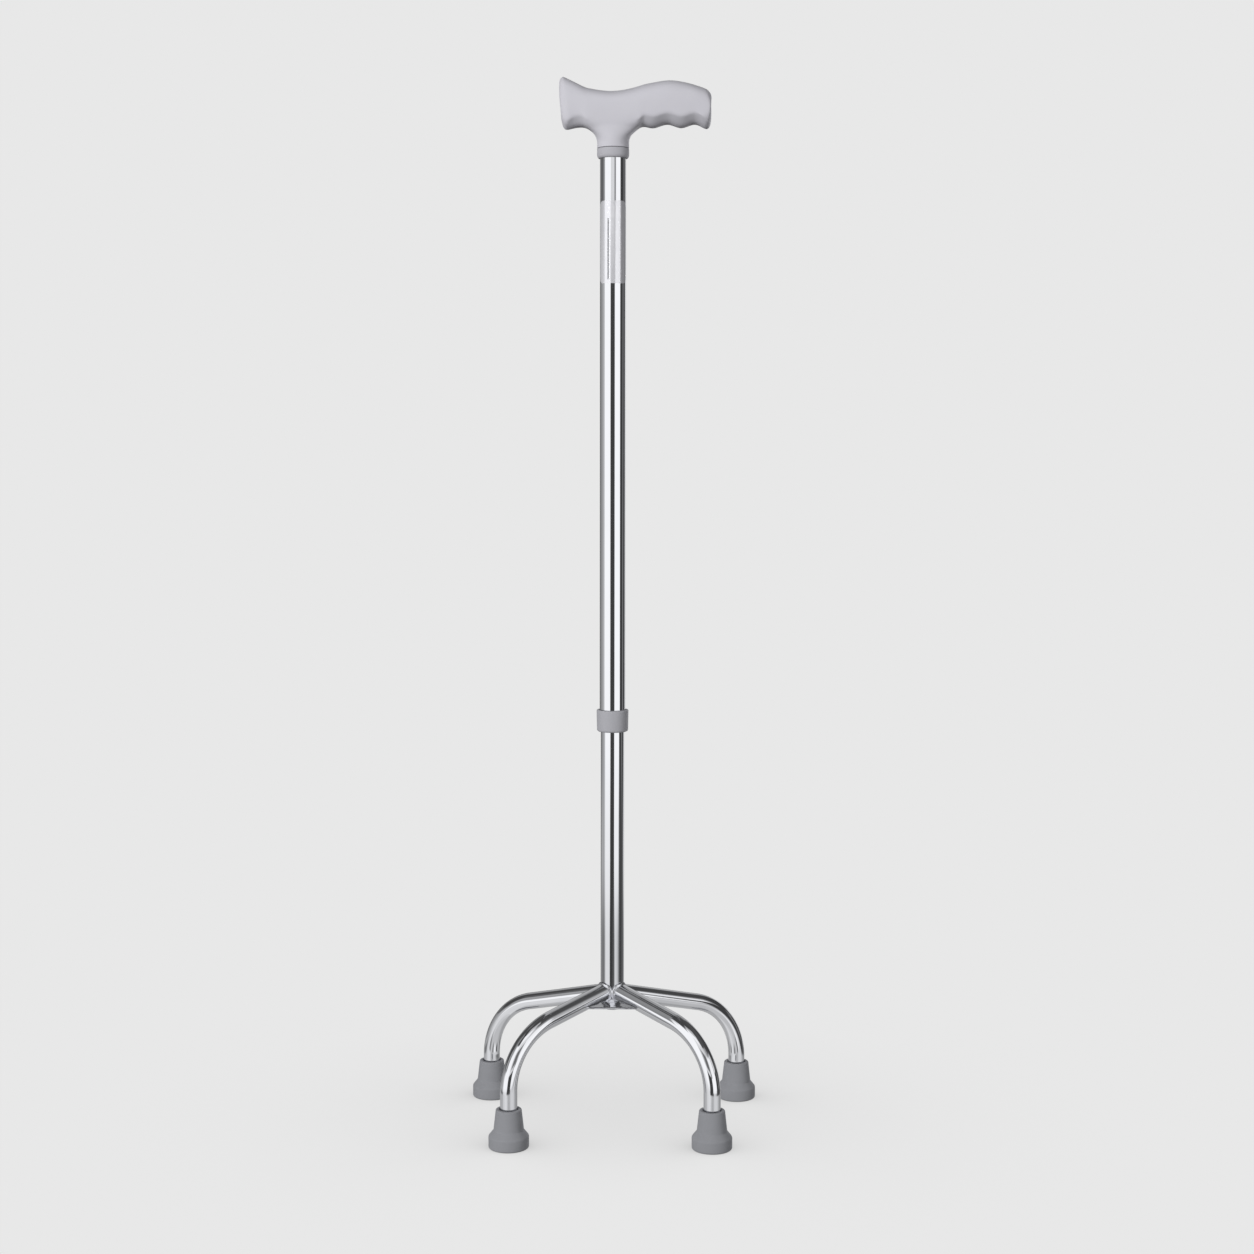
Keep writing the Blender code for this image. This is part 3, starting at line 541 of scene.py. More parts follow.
def make_shaft():
    first_hole = BUTTON_Z - REST_HOLE * HOLE_PITCH
    holes = [(first_hole + number * HOLE_PITCH, HOLE_RADIUS) for number in range(HOLE_COUNT)]
    holes.append((SCREW_Z, SCREW_RADIUS + SEAT_GAP))
    make_tube("chromed_upper_tube", "upper", UPPER_LOW.z, UPPER_HIGH.z, UPPER_RADIUS, UPPER_WALL, holes)
    holes = [(BUTTON_Z, HOLE_RADIUS)]
    make_tube("chromed_lower_tube", "base", LOWER_LOW.z, LOWER_HIGH.z, LOWER_RADIUS, LOWER_WALL, holes)


def make_collar():
    """Sleeve over the upper tube's end, with a lip inside that guides the lower tube."""
    low, high, radius = COLLAR_LOW.z, COLLAR_HIGH.z, COLLAR_HIGH.x
    lip_bore = LOWER_RADIUS + SEAT_GAP
    socket = UPPER_RADIUS + SEAT_GAP
    outline = [(lip_bore, low + COLLAR_EASE), (lip_bore + COLLAR_EASE, low)]
    centre = (radius - COLLAR_DRAFT - COLLAR_BOTTOM_ROUND, low + COLLAR_BOTTOM_ROUND)
    outline += arc(centre, COLLAR_BOTTOM_ROUND, -90, 0, 8)
    centre = (radius - COLLAR_TOP_ROUND, high - COLLAR_TOP_ROUND)
    outline += arc(centre, COLLAR_TOP_ROUND, 0, 90, 6)
    outline += [(socket + COLLAR_EASE, high), (socket, high - COLLAR_EASE)]
    outline += [(socket, low + COLLAR_LIP), (lip_bore, low + COLLAR_LIP)]
    collar = settle(turned("moulded_height_collar", outline))
    finish(collar, "upper", "collar_plastic", "collar", "height_collar")


def make_neck_ring():
    """Ring that closes the grip's neck, rounded in more at its bottom."""
    low, high, radius = RING_LOW.z, RING_HIGH.z, RING_HIGH.x
    bore = UPPER_RADIUS + SEAT_GAP
    outline = [(bore, low)]
    for across, rise in arc((0, 0), 1, -90, 0, 10):
        outline.append((radius - RING_BOTTOM_ROUND * (1 - across), low + RING_BOTTOM_RISE * (1 + rise)))
    outline += arc((radius - RING_TOP_ROUND, high - RING_TOP_ROUND), RING_TOP_ROUND, 0, 90, 6)
    outline.append((bore, high))
    ring = settle(turned("moulded_neck_ring", outline))
    finish(ring, "upper", "grip_plastic", "ring", "neck_ring")


def make_stem_cap():
    """Plug in the lower tube's bottom end, with a rounded flange."""
    low, high, radius = CAP_LOW.z, CAP_HIGH.z, CAP_HIGH.x
    plug = LOWER_RADIUS - LOWER_WALL - SEAT_GAP
    outline = [(0, low)]
    outline += arc((radius - CAP_ROUND, low + CAP_ROUND), CAP_ROUND, -90, 0, 6)
    outline += [(radius, low + CAP_FLANGE), (plug, low + CAP_FLANGE), (plug, high), (0, high)]
    cap = settle(turned("moulded_stem_cap", outline))
    finish(cap, "base", "guide_plastic", "guide", "stem_cap")


def pointed_back(name, profile, place, steps=64):
    """Turn a profile and point it straight back, along +Y."""
    piece = turned(name, profile, steps)
    piece.rotation_euler = (-math.pi / 2, 0, 0)
    piece.location = place
    return settle(piece)


def make_snap_button():
    """Button with a domed end, and a flange that keeps it inside the tube."""
    back, tip = BUTTON_LOW.y, BUTTON_HIGH.y
    length = tip - back
    outline = [(0, 0), (BUTTON_FLANGE_RADIUS, 0), (BUTTON_FLANGE_RADIUS, BUTTON_FLANGE)]
    outline += [(BUTTON_RADIUS, BUTTON_FLANGE), (BUTTON_RADIUS, length - BUTTON_CROWN)]
    for step in range(1, 9):
        angle = step / 8 * math.pi / 2
        outline.append((BUTTON_RADIUS * math.cos(angle), length - BUTTON_CROWN * (1 - math.sin(angle))))
    outline[-1] = (0, length)
    button = pointed_back("plated_snap_button", outline, (0, back, BUTTON_Z))
    finish(button, "button", "zinc_steel", "steel", "snap_button")


def make_grip_screw():
    """Pan-head screw with a straight slot."""
    point, head_top = SCREW_LOW.y, SCREW_HIGH.y
    length = head_top - point
    seat = length - SCREW_HEAD
    outline = [(0, 0), (SCREW_POINT_RADIUS, 0), (SCREW_RADIUS, SCREW_POINT), (SCREW_RADIUS, seat)]
    outline.append((SCREW_HEAD_RADIUS, seat))
    outline += arc((SCREW_HEAD_RADIUS - SCREW_CROWN, length - SCREW_CROWN), SCREW_CROWN, 0, 90, 6)
    outline.append((0, length))
    screw = pointed_back("plated_grip_screw", outline, (0, point, SCREW_Z), 48)
    deselect()
    bpy.ops.mesh.primitive_cube_add(size=1, location=(0, head_top, SCREW_Z))
    slot = named("slot")
    slot.dimensions = (4 * SCREW_HEAD_RADIUS, 2 * SCREW_SLOT_DEPTH, SCREW_SLOT)
    cut(screw, slot)
    finish(settle(screw), "upper", "zinc_steel", "steel", "grip_screw")


# Grip

def grip_stations():
    """Sections of the grip from nose to end, as shares: distance from the shaft, of the reach on that side;
    height of the top and of the underside, of the grip's height; half width at the side and at the
    underside, of the grip's half width; and how much the section leans away from the nose as it goes down."""
    return (
        (-1.000, 0.908, 0.352, 0.568, 0.300, 0.073),
        (-0.926, 0.996, 0.262, 0.774, 0.370, 0.054),
        (-0.752, 0.936, 0.278, 0.839, 0.420, 0.018),
        (-0.562, 0.865, 0.292, 0.877, 0.480, 0.0),
        (-0.397, 0.829, 0.242, 0.910, 0.640, 0.0),
        (0.000, 0.798, 0.249, 0.935, 0.897, 0.0),
        (0.216, 0.848, 0.240, 0.961, 0.660, 0.0),
        (0.310, 0.887, 0.302, 0.981, 0.520, 0.0),
        (0.415, 0.916, 0.282, 0.994, 0.490, 0.0),
        (0.551, 0.943, 0.332, 1.000, 0.490, 0.0),
        (0.690, 0.925, 0.282, 0.987, 0.480, 0.0),
        (0.826, 0.879, 0.332, 0.955, 0.460, 0.0),
        (0.940, 0.820, 0.268, 0.905, 0.420, 0.0),
        (0.984, 0.752, 0.362, 0.720, 0.360, 0.0),
    )


def station_x(station):
    return station[0] * (GRIP_NOSE_REACH if station[0] < 0 else GRIP_END_REACH)


def grip_section(station):
    """Ten points round one section: top, shoulder, upper and lower side, heel, underside, and back up."""
    _, top_share, under_share, width_share, heel_share, lean = station
    top = top_share * GRIP_HEIGHT
    height = top - under_share * GRIP_HEIGHT
    half_width = width_share * GRIP_HALF_WIDTH
    half = [
        (0, top),
        (half_width * GRIP_SHOULDER_SHARE, top - GRIP_SHOULDER_DROP),
        (half_width, top - GRIP_SIDE_SHARE * height),
        (half_width * GRIP_SIDE_TAPER, top - height + GRIP_BAND_HEIGHT),
        (heel_share * GRIP_HALF_WIDTH, top - height + GRIP_HEEL_RISE),
        (0, top - height),
    ]
    around = half + [(-y, z) for y, z in reversed(half[1:-1])]
    return [Vector((station_x(station) + lean * (top - z), y, z)) for y, z in around]


def move_each(target, wanted):
    """In edit mode, move vertices one by one, each given by its number, to their wanted places."""
    bpy.ops.mesh.select_mode(type="VERT")
    for number, place in wanted.items():
        bpy.ops.mesh.select_all(action="DESELECT")
        work = bmesh.from_edit_mesh(target.data)
        work.verts.ensure_lookup_table()
        vertex = work.verts[number]
        vertex.select_set(True)
        shift = place - vertex.co
        bmesh.update_edit_mesh(target.data)
        bpy.ops.transform.translate(value=shift)


def close_end(target, corner):
    """In edit mode, fill the selected loop with a grid that has its corner at one vertex."""
    work = bmesh.from_edit_mesh(target.data)
    work.select_history.clear()
    work.verts.ensure_lookup_table()
    work.select_history.add(work.verts[corner])
    bmesh.update_edit_mesh(target.data)
    bpy.ops.mesh.fill_grid(span=2, offset=0)


def shape_grip_body(cage):
    """Cut the round bar at each station, and move its points onto the sections."""
    stations = grip_stations()
    for station in stations[1:-1]:
        slice_at((station_x(station), 0, 0), (1, 0, 0))
    wanted = {}
    work = bmesh.from_edit_mesh(cage.data)
    for vertex in work.verts:
        station = min(stations, key=lambda one: abs(station_x(one) - vertex.co.x))
        corner = round(math.atan2(vertex.co.y, vertex.co.z) / (2 * math.pi) * 10) % 10
        wanted[vertex.index] = grip_section(station)[corner]
    move_each(cage, wanted)


def sign(value):
    return 0 if abs(value) < MERGE else math.copysign(1, value)


def shape_grip_neck(cage):
    """Open the underside round the shaft, and draw the opening down into a round neck."""
    stations = grip_stations()
    neck = next(number for number, station in enumerate(stations) if station[0] == 0)
    first, last = station_x(stations[neck - 1]), station_x(stations[neck + 1])

    def under_the_hand(face):
        middle = face.calc_center_median()
        return first < middle.x < last and face.normal.z < FACES_DOWN

    pick(cage, "FACE", under_the_hand)
    bpy.ops.mesh.delete(type="FACE")
    pick(cage, "EDGE", lambda edge: edge.is_boundary and first - MM < edge.verts[0].co.x < last + MM)
    for radius, height in ((NECK_RADIUS + NECK_FLARE, NECK_FLARE_RISE), (NECK_RADIUS, 0.0)):
        bpy.ops.mesh.extrude_region_move(TRANSFORM_OT_translate={"value": (0, 0, -MM)})
        ring = {}
        for vertex in bmesh.from_edit_mesh(cage.data).verts:
            if vertex.select:
                angle = math.atan2(sign(vertex.co.y), sign(vertex.co.x))
                ring[vertex.index] = Vector((radius * math.cos(angle), radius * math.sin(angle), height))
        move_each(cage, ring)
        pick(cage, "EDGE", lambda edge: {edge.verts[0].index, edge.verts[1].index} <= ring.keys())
    bpy.ops.transform.edge_crease(value=1.0)
    corner = next(number for number, place in ring.items() if abs(abs(place.x) - abs(place.y)) < MERGE)
    close_end(cage, corner)


def close_grip_ends(cage):
    """Fill both ends with a grid of faces, and crease the upper part of each rim, where the end turns."""
    stations = grip_stations()
    for end, rim, crease in ((0, 1, NOSE_CREASE), (-1, -2, END_CREASE)):
        loop = grip_section(stations[end])
        corner = nearest_vertex(cage, loop[1])
        middle = station_x(stations[end])
        pick(
            cage,
            "EDGE",
            lambda edge: edge.is_boundary and abs(edge.verts[0].co.x - middle) < GRIP_END_MARGIN,
        )
        close_end(cage, corner)
        section = grip_section(stations[rim])
        line = {nearest_vertex(cage, point) for point in section[8:] + section[:3]}
        pick(cage, "EDGE", lambda edge: {edge.verts[0].index, edge.verts[1].index} <= line)
        bpy.ops.transform.edge_crease(value=crease)


def crease_bands(cage):
    """Crease the line where the sides turn under, from either end to the neck."""
    stations = grip_stations()
    for chosen in (stations[1:5], stations[6:13]):
        for low_side in (3, 7):
            line = {nearest_vertex(cage, grip_section(station)[low_side]) for station in chosen}
            pick(cage, "EDGE", lambda edge: {edge.verts[0].index, edge.verts[1].index} <= line)
            bpy.ops.transform.edge_crease(value=BAND_CREASE)


def nearest_vertex(target, place):
    """In edit mode, the number of the vertex nearest a place."""
    work = bmesh.from_edit_mesh(target.data)
    return min(work.verts, key=lambda vertex: (vertex.co - place).length).index


def pass_through(cage):
    """Move the cage's points until its smoothed surface goes through where they were."""
    wanted = [vertex.co.copy() for vertex in cage.data.vertices]
    for _ in range(GRIP_ROUNDS):
        bpy.context.view_layer.update()
        smooth = cage.evaluated_get(bpy.context.evaluated_depsgraph_get()).data
        shifts = [place - smooth.vertices[number].co for number, place in enumerate(wanted)]
        for vertex, shift in zip(cage.data.vertices, shifts):
            vertex.co += shift
        cage.data.update()


def make_grip():
    """Moulded grip, drawn from a ten-sided bar along X and smoothed."""
    middle = (GRIP_END_REACH - GRIP_NOSE_REACH) / 2
    deselect()
    bpy.ops.mesh.primitive_cylinder_add(
        vertices=10,
        radius=GRIP_HALF_WIDTH,
        depth=GRIP_NOSE_REACH + GRIP_END_REACH,
        end_fill_type="NOTHING",
        location=(middle, 0, 0),
        rotation=(math.pi / 2, 0, math.pi / 2),
    )
    grip = named("moulded_grip")
    apply_place()
    edit_mode()
    shape_grip_body(grip)
    shape_grip_neck(grip)
    close_grip_ends(grip)
    crease_bands(grip)
    face_outwards()
    object_mode()
    smoothing = grip.modifiers.new("smoothing", "SUBSURF")
    smoothing.levels = GRIP_SMOOTHING
    smoothing.render_levels = GRIP_SMOOTHING
    pass_through(grip)
    use(grip)
    bpy.ops.object.modifier_apply(modifier=smoothing.name)
    grip.location.z = NECK_BOTTOM_Z
    settle(grip)
    ease_neck_end(grip)
    shaft_top = UPPER_HIGH.z + SEAT_GAP
    cut(grip, rod(SOCKET_RADIUS, (0, 0, RING_LOW.z), (0, 0, shaft_top), ROUND_STEPS))
    outside = 2 * GRIP_HALF_WIDTH
    cut(grip, rod(SCREW_RADIUS + SEAT_GAP, (0, 0, SCREW_Z), (0, outside, SCREW_Z)))
    head_seat = SCREW_HIGH.y - SCREW_HEAD - SEAT_GAP
    cut(grip, rod(SCREW_HEAD_RADIUS + SEAT_GAP, (0, head_seat, SCREW_Z), (0, outside, SCREW_Z)))
    finish(settle(grip), "upper", "grip_plastic", "grip", "grip")


def ease_neck_end(grip):
    """Round the edge at the neck's bottom end, which leaves a groove over the ring."""
    edit_mode()

    def on_the_rim(edge):
        return all(
            abs(vertex.co.z - NECK_BOTTOM_Z) < MERGE and vertex.co.xy.length > SOCKET_RADIUS + MM
            for vertex in edge.verts
        ) and edge.calc_face_angle(0) > SMOOTH_ANGLE

    pick(grip, "EDGE", on_the_rim)
    bpy.ops.mesh.bevel(offset=NECK_END_ROUND, segments=4, affect="EDGES")
    object_mode()


# Label

def wrapped_strip(name, width, low, high, corner, radius, thickness, turn):
    """Flat strip with rounded corners, wrapped round the shaft and given its thickness."""
    middle = (low + high) / 2
    deselect()
    bpy.ops.mesh.primitive_plane_add(size=1, rotation=(math.pi / 2, 0, 0), enter_editmode=True)
    strip = named(name)
    bpy.ops.transform.resize(value=(width, 1, high - low))
    if corner:
        bpy.ops.mesh.bevel(offset=corner, segments=8, affect="VERTICES")
    count = max(4, math.ceil(width / STRIP_STEP))
    for number in range(1, count):
        slice_at((width * (number / count - 0.5), 0, 0), (1, 0, 0))
    object_mode()
    apply_place()
    modify(strip, "SIMPLE_DEFORM", deform_method="BEND", deform_axis="Z", angle=width / radius)
    strip.location = (0, -radius, 0)
    apply_place()
    modify(strip, "SOLIDIFY", thickness=thickness, offset=1)
    strip.location.z = middle
    strip.rotation_euler.z = turn
    return settle(strip)


def make_label():
    """Clear label round the front of the upper tube, bare but for one thin printed line."""
    radius = UPPER_RADIUS + LABEL_LIFT
    width = 2 * LABEL_HALF_ANGLE * radius
    label = wrapped_strip(
        "clear_label", width, LABEL_LOW_Z, LABEL_HIGH_Z, LABEL_CORNER, radius, LABEL_THICKNESS, 0
    )
    finish(label, "upper", "chromed_steel", "label")
    radius += LABEL_THICKNESS + LABEL_LIFT
    line = wrapped_strip(
        "label_keyline", KEYLINE_WIDTH, KEYLINE_LOW_Z, KEYLINE_HIGH_Z, 0, radius, LABEL_LIFT, KEYLINE_ANGLE
    )
    finish(line, "upper", "chromed_steel", "ink")


# Base

def foot_place(side, pair):
    """Middle of a foot on the floor, from the frame."""
    low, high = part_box(f"foot_{pair}_{side}")
    return Vector(((low.x + high.x) / 2, (low.y + high.y) / 2, 0))


def bend_foot(pair):
    """Height where a leg's bend ends and its upright part begins."""
    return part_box(f"foot_{pair}_right")[1].z + LEG_UPRIGHT[pair]


def leg_facts(pair):
    """Reach of a pair's legs, how far out their bend starts, and how high they meet the shaft's axis."""
    reach = foot_place("right", pair).length
    bend_start = reach - LEG_BEND_RADIUS * (1 - math.sin(LEG_SLOPE))
    bend_top = bend_foot(pair) + LEG_BEND_RADIUS * math.cos(LEG_SLOPE)
    return reach, bend_start, bend_top + bend_start * math.tan(LEG_SLOPE)


def bend_leg(leg, pair):
    """In edit mode, draw a ring out from the shaft's axis, round its bend and down to the foot."""
    reach, bend_start, _ = leg_facts(pair)
    slope = Vector((math.cos(LEG_SLOPE), 0, -math.sin(LEG_SLOPE)))
    bpy.ops.mesh.extrude_region_move(
        TRANSFORM_OT_translate={"value": slope * (bend_start / math.cos(LEG_SLOPE))}
    )
    turn = math.pi / 2 - LEG_SLOPE
    centre = Vector((reach - LEG_BEND_RADIUS, 0, bend_foot(pair)))
    bpy.ops.mesh.spin(steps=LEG_BEND_STEPS, angle=turn, center=centre, axis=(0, -1, 0))
    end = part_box(f"leg_{pair}_right")[0].z
    bpy.ops.mesh.extrude_region_move(TRANSFORM_OT_translate={"value": (0, 0, end - centre.z)})
    for step in range(1, LEG_BEND_STEPS):
        share = step / LEG_BEND_STEPS
        flatten_ring(leg, centre, turn * (1 - share), LEG_BEND_FLATTENING * math.sin(math.pi * share))
    select_mesh()
    bpy.ops.mesh.fill_holes(sides=0)
    face_outwards()


def flatten_ring(leg, centre, angle, share):
    """Press the inner half of one ring of the bend towards the tube's middle line."""
    half_step = (math.pi / 2 - LEG_SLOPE) / LEG_BEND_STEPS / 2
    outwards = Vector((math.cos(angle), 0, math.sin(angle)))
    middle = centre + outwards * LEG_BEND_RADIUS

    def on_the_inner_half(vertex):
        spoke = vertex.co - centre
        spoke.y = 0
        on_ring = abs(math.atan2(spoke.z, spoke.x) - angle) < half_step and spoke.x > 0
        return on_ring and spoke.length < LEG_BEND_RADIUS - MERGE

    pick(leg, "VERT", on_the_inner_half)
    across = Vector((0, 1, 0))
    bpy.ops.transform.resize(
        value=(1 - share, 1, 1),
        orient_type="GLOBAL",
        orient_matrix=(outwards, across, outwards.cross(across)),
        orient_matrix_type="GLOBAL",
        constraint_axis=(True, False, False),
        center_override=middle,
    )


def make_leg(side, pair):
    """Bent tube from the hub to its foot, coped round the lower tube and mitred to its neighbours."""
    _, _, root = leg_facts(pair)
    deselect()
    bpy.ops.mesh.primitive_circle_add(
        vertices=LEG_SIDES,
        radius=LEG_RADIUS,
        location=(0, 0, root),
        rotation=(0, math.pi / 2 + LEG_SLOPE, 0),
    )
    leg = named(f"chromed_leg_{pair}_{side}")
    apply_place()
    edit_mode()
    bend_leg(leg, pair)
    object_mode()
    own = foot_place(side, pair).normalized()
    leg.rotation_euler.z = math.atan2(own.y, own.x)
    apply_place()
    other_pair = "back" if pair == "front" else "front"
    between = (own + foot_place(side, other_pair).normalized()).normalized()
    to_own = (own - between * own.dot(between)).normalized()
    edit_mode()
    for normal in (Vector((SIDES[side], 0, 0)), to_own):
        slice_at(normal * SEAT_GAP / 2, normal, use_fill=True, clear_inner=True)
    object_mode()
    cope = LOWER_RADIUS + SEAT_GAP
    cut(leg, rod(cope, (0, 0, 0), (0, 0, 2 * root), ROUND_STEPS))
    settle(leg)
    hub = Vector((0, 0, root))
    axis = Vector((own.x * math.cos(LEG_SLOPE), own.y * math.cos(LEG_SLOPE), -math.sin(LEG_SLOPE)))
    across = (to_own - own * own.dot(to_own)).normalized()
    rim = [
        vertex.co - hub
        for vertex in leg.data.vertices
        if abs(vertex.co.xy.length - cope) < COPE_MARGIN
        and abs((vertex.co - hub).cross(axis).length - LEG_RADIUS) < ON_SURFACE
    ]
    # Round the leg from the mitre with the other pair's leg, where the rim has no vertices
    rim.sort(key=lambda spoke: math.atan2(spoke.dot(axis.cross(across)), spoke.dot(across)))
    make_bead(f"weld_{pair}_{side}", [hub + spoke for spoke in rim])
    finish(leg, "base", "chromed_steel", "leg", f"leg_{pair}_{side}")


def make_bead(name, places):
    """Run a weld bead through places in their order and back to the first. A place less than one step from
    the last is passed over."""
    path = places[:1]
    for place in places:
        if (place - path[-1]).length > WELD_STEP:
            path.append(place)
    bead = bpy.data.objects.new(name, bpy.data.curves.new(name, "CURVE"))
    bpy.context.scene.collection.objects.link(bead)
    bead.data.dimensions = "3D"
    bead.data.bevel_depth = WELD_RADIUS
    bead.data.bevel_resolution = WELD_ROUNDNESS
    line = bead.data.splines.new("POLY")
    line.use_cyclic_u = True
    line.points.add(len(path) - 1)
    for point, place in zip(line.points, path):
        point.co = (*place, 1)
    use(bead)
    bpy.ops.object.convert(target="MESH")
    edit_mode()
    face_outwards()
    object_mode()
    settle(bead)
    finish(bead, "base", "chromed_steel", "weld")


def make_gusset(pair):
    """Pressed plate in the corner between the two legs of a pair, in the plane of their centre lines."""
    direction = foot_place("right", pair).normalized()
    fall = math.tan(LEG_SLOPE) / abs(direction.y)
    facing = PAIRS[pair]
    beside = LEG_RADIUS + SEAT_GAP
    _, _, root = leg_facts(pair)
    deselect()
    bpy.ops.mesh.primitive_plane_add(
        size=6 * GUSSET_REACH,
        location=(0, 0, root - GUSSET_THICKNESS / 2),
        rotation=(-facing * math.atan(fall), 0, 0),
    )
    plate = named(f"chromed_gusset_{pair}")
    apply_place()
    edit_mode()
    select_mesh()
    bpy.ops.mesh.extrude_region_move(TRANSFORM_OT_translate={"value": (0, 0, GUSSET_THICKNESS)})
    edges = [(Vector((0, facing * GUSSET_REACH, 0)), Vector((0, -facing, 0)))]
    for side in SIDES.values():
        normal = Vector((-side * abs(direction.y), facing * direction.x, 0))
        edges.append((normal * beside, normal))
    for place, normal in edges:
        slice_at(place, normal, use_fill=True, clear_inner=True)
    face_outwards()
    object_mode()
    cut(plate, rod(LOWER_RADIUS + SEAT_GAP, (0, 0, 0), (0, 0, 2 * root), ROUND_STEPS))
    modify(plate, "BEVEL", width=GUSSET_EDGE, segments=3, limit_method="ANGLE")
    settle(plate)
    finish(plate, "base", "chromed_steel", "plate", f"gusset_{pair}")


def foot_profile():
    """Half section of a foot, from the middle of its grooved sole round to the bottom of its socket."""
    sole = FOOT_SOCKET_RADIUS + FOOT_SOLE_WALL
    waist = FOOT_SOCKET_RADIUS + FOOT_WAIST_WALL
    rim = FOOT_SOCKET_RADIUS + FOOT_RIM_WALL
    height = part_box("foot_front_right")[1].z
    outline = [(0, 0)]
    for number in range(GROOVE_COUNT):
        radius = GROOVE_FIRST_RADIUS + number * GROOVE_PITCH
        half = GROOVE_WIDTH / 2
        outline += [(radius - half, 0), (radius - half / 2, GROOVE_DEPTH)]
        outline += [(radius + half / 2, GROOVE_DEPTH), (radius + half, 0)]
    outline += arc((sole - FOOT_SOLE_ROUND, FOOT_SOLE_ROUND), FOOT_SOLE_ROUND, -90, 0, 8)
    outline += arc((sole - FOOT_BAND_ROUND, FOOT_BAND_HEIGHT), FOOT_BAND_ROUND, 0, 40, 6)
    fillet = FOOT_SHOULDER_FILLET
    outline += arc((waist + fillet, FOOT_SHOULDER_HEIGHT + fillet / 2), fillet, 230, 180, 6)
    outline += arc((rim - FOOT_RIM_ROUND, height - FOOT_RIM_ROUND), FOOT_RIM_ROUND, 5, 90, 8)
    lead_in = FOOT_RIM_ROUND / 2
    outline += [(FOOT_SOCKET_RADIUS + lead_in, height), (FOOT_SOCKET_RADIUS, height - lead_in)]
    outline += [(FOOT_SOCKET_RADIUS, FOOT_FLOOR), (0, FOOT_FLOOR)]
    return outline


def make_feet():
    pattern = settle(turned("foot_pattern", foot_profile()))
    for pair in PAIRS:
        for side in SIDES:
            foot = copied(pattern, f"rubber_foot_{pair}_{side}", foot_place(side, pair))
            finish(foot, "base", "foot_rubber", "rubber", f"foot_{pair}_{side}")
    bpy.data.objects.remove(pattern)


def dress_hidden_nodes():
    """Materials for the pieces inside the tubes and feet, which keep their own shapes."""
    hidden = {"guide_bush": "guide", "button_spring": "steel"}
    for pair in PAIRS:
        for side in SIDES:
            hidden[f"foot_disc_{pair}_{side}"] = "steel"
    for name, material in hidden.items():
        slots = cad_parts[name].data.materials
        slots.clear()
        slots.append(MATERIALS[material])


make_shaft()
make_collar()
make_neck_ring()
make_stem_cap()
make_snap_button()
make_grip_screw()
make_grip()
make_label()
for legs in PAIRS:
    make_gusset(legs)
    for hand in SIDES:
        make_leg(hand, legs)
make_feet()
dress_hidden_nodes()


# Stage

BACKGROUND = "#E8E8E8"

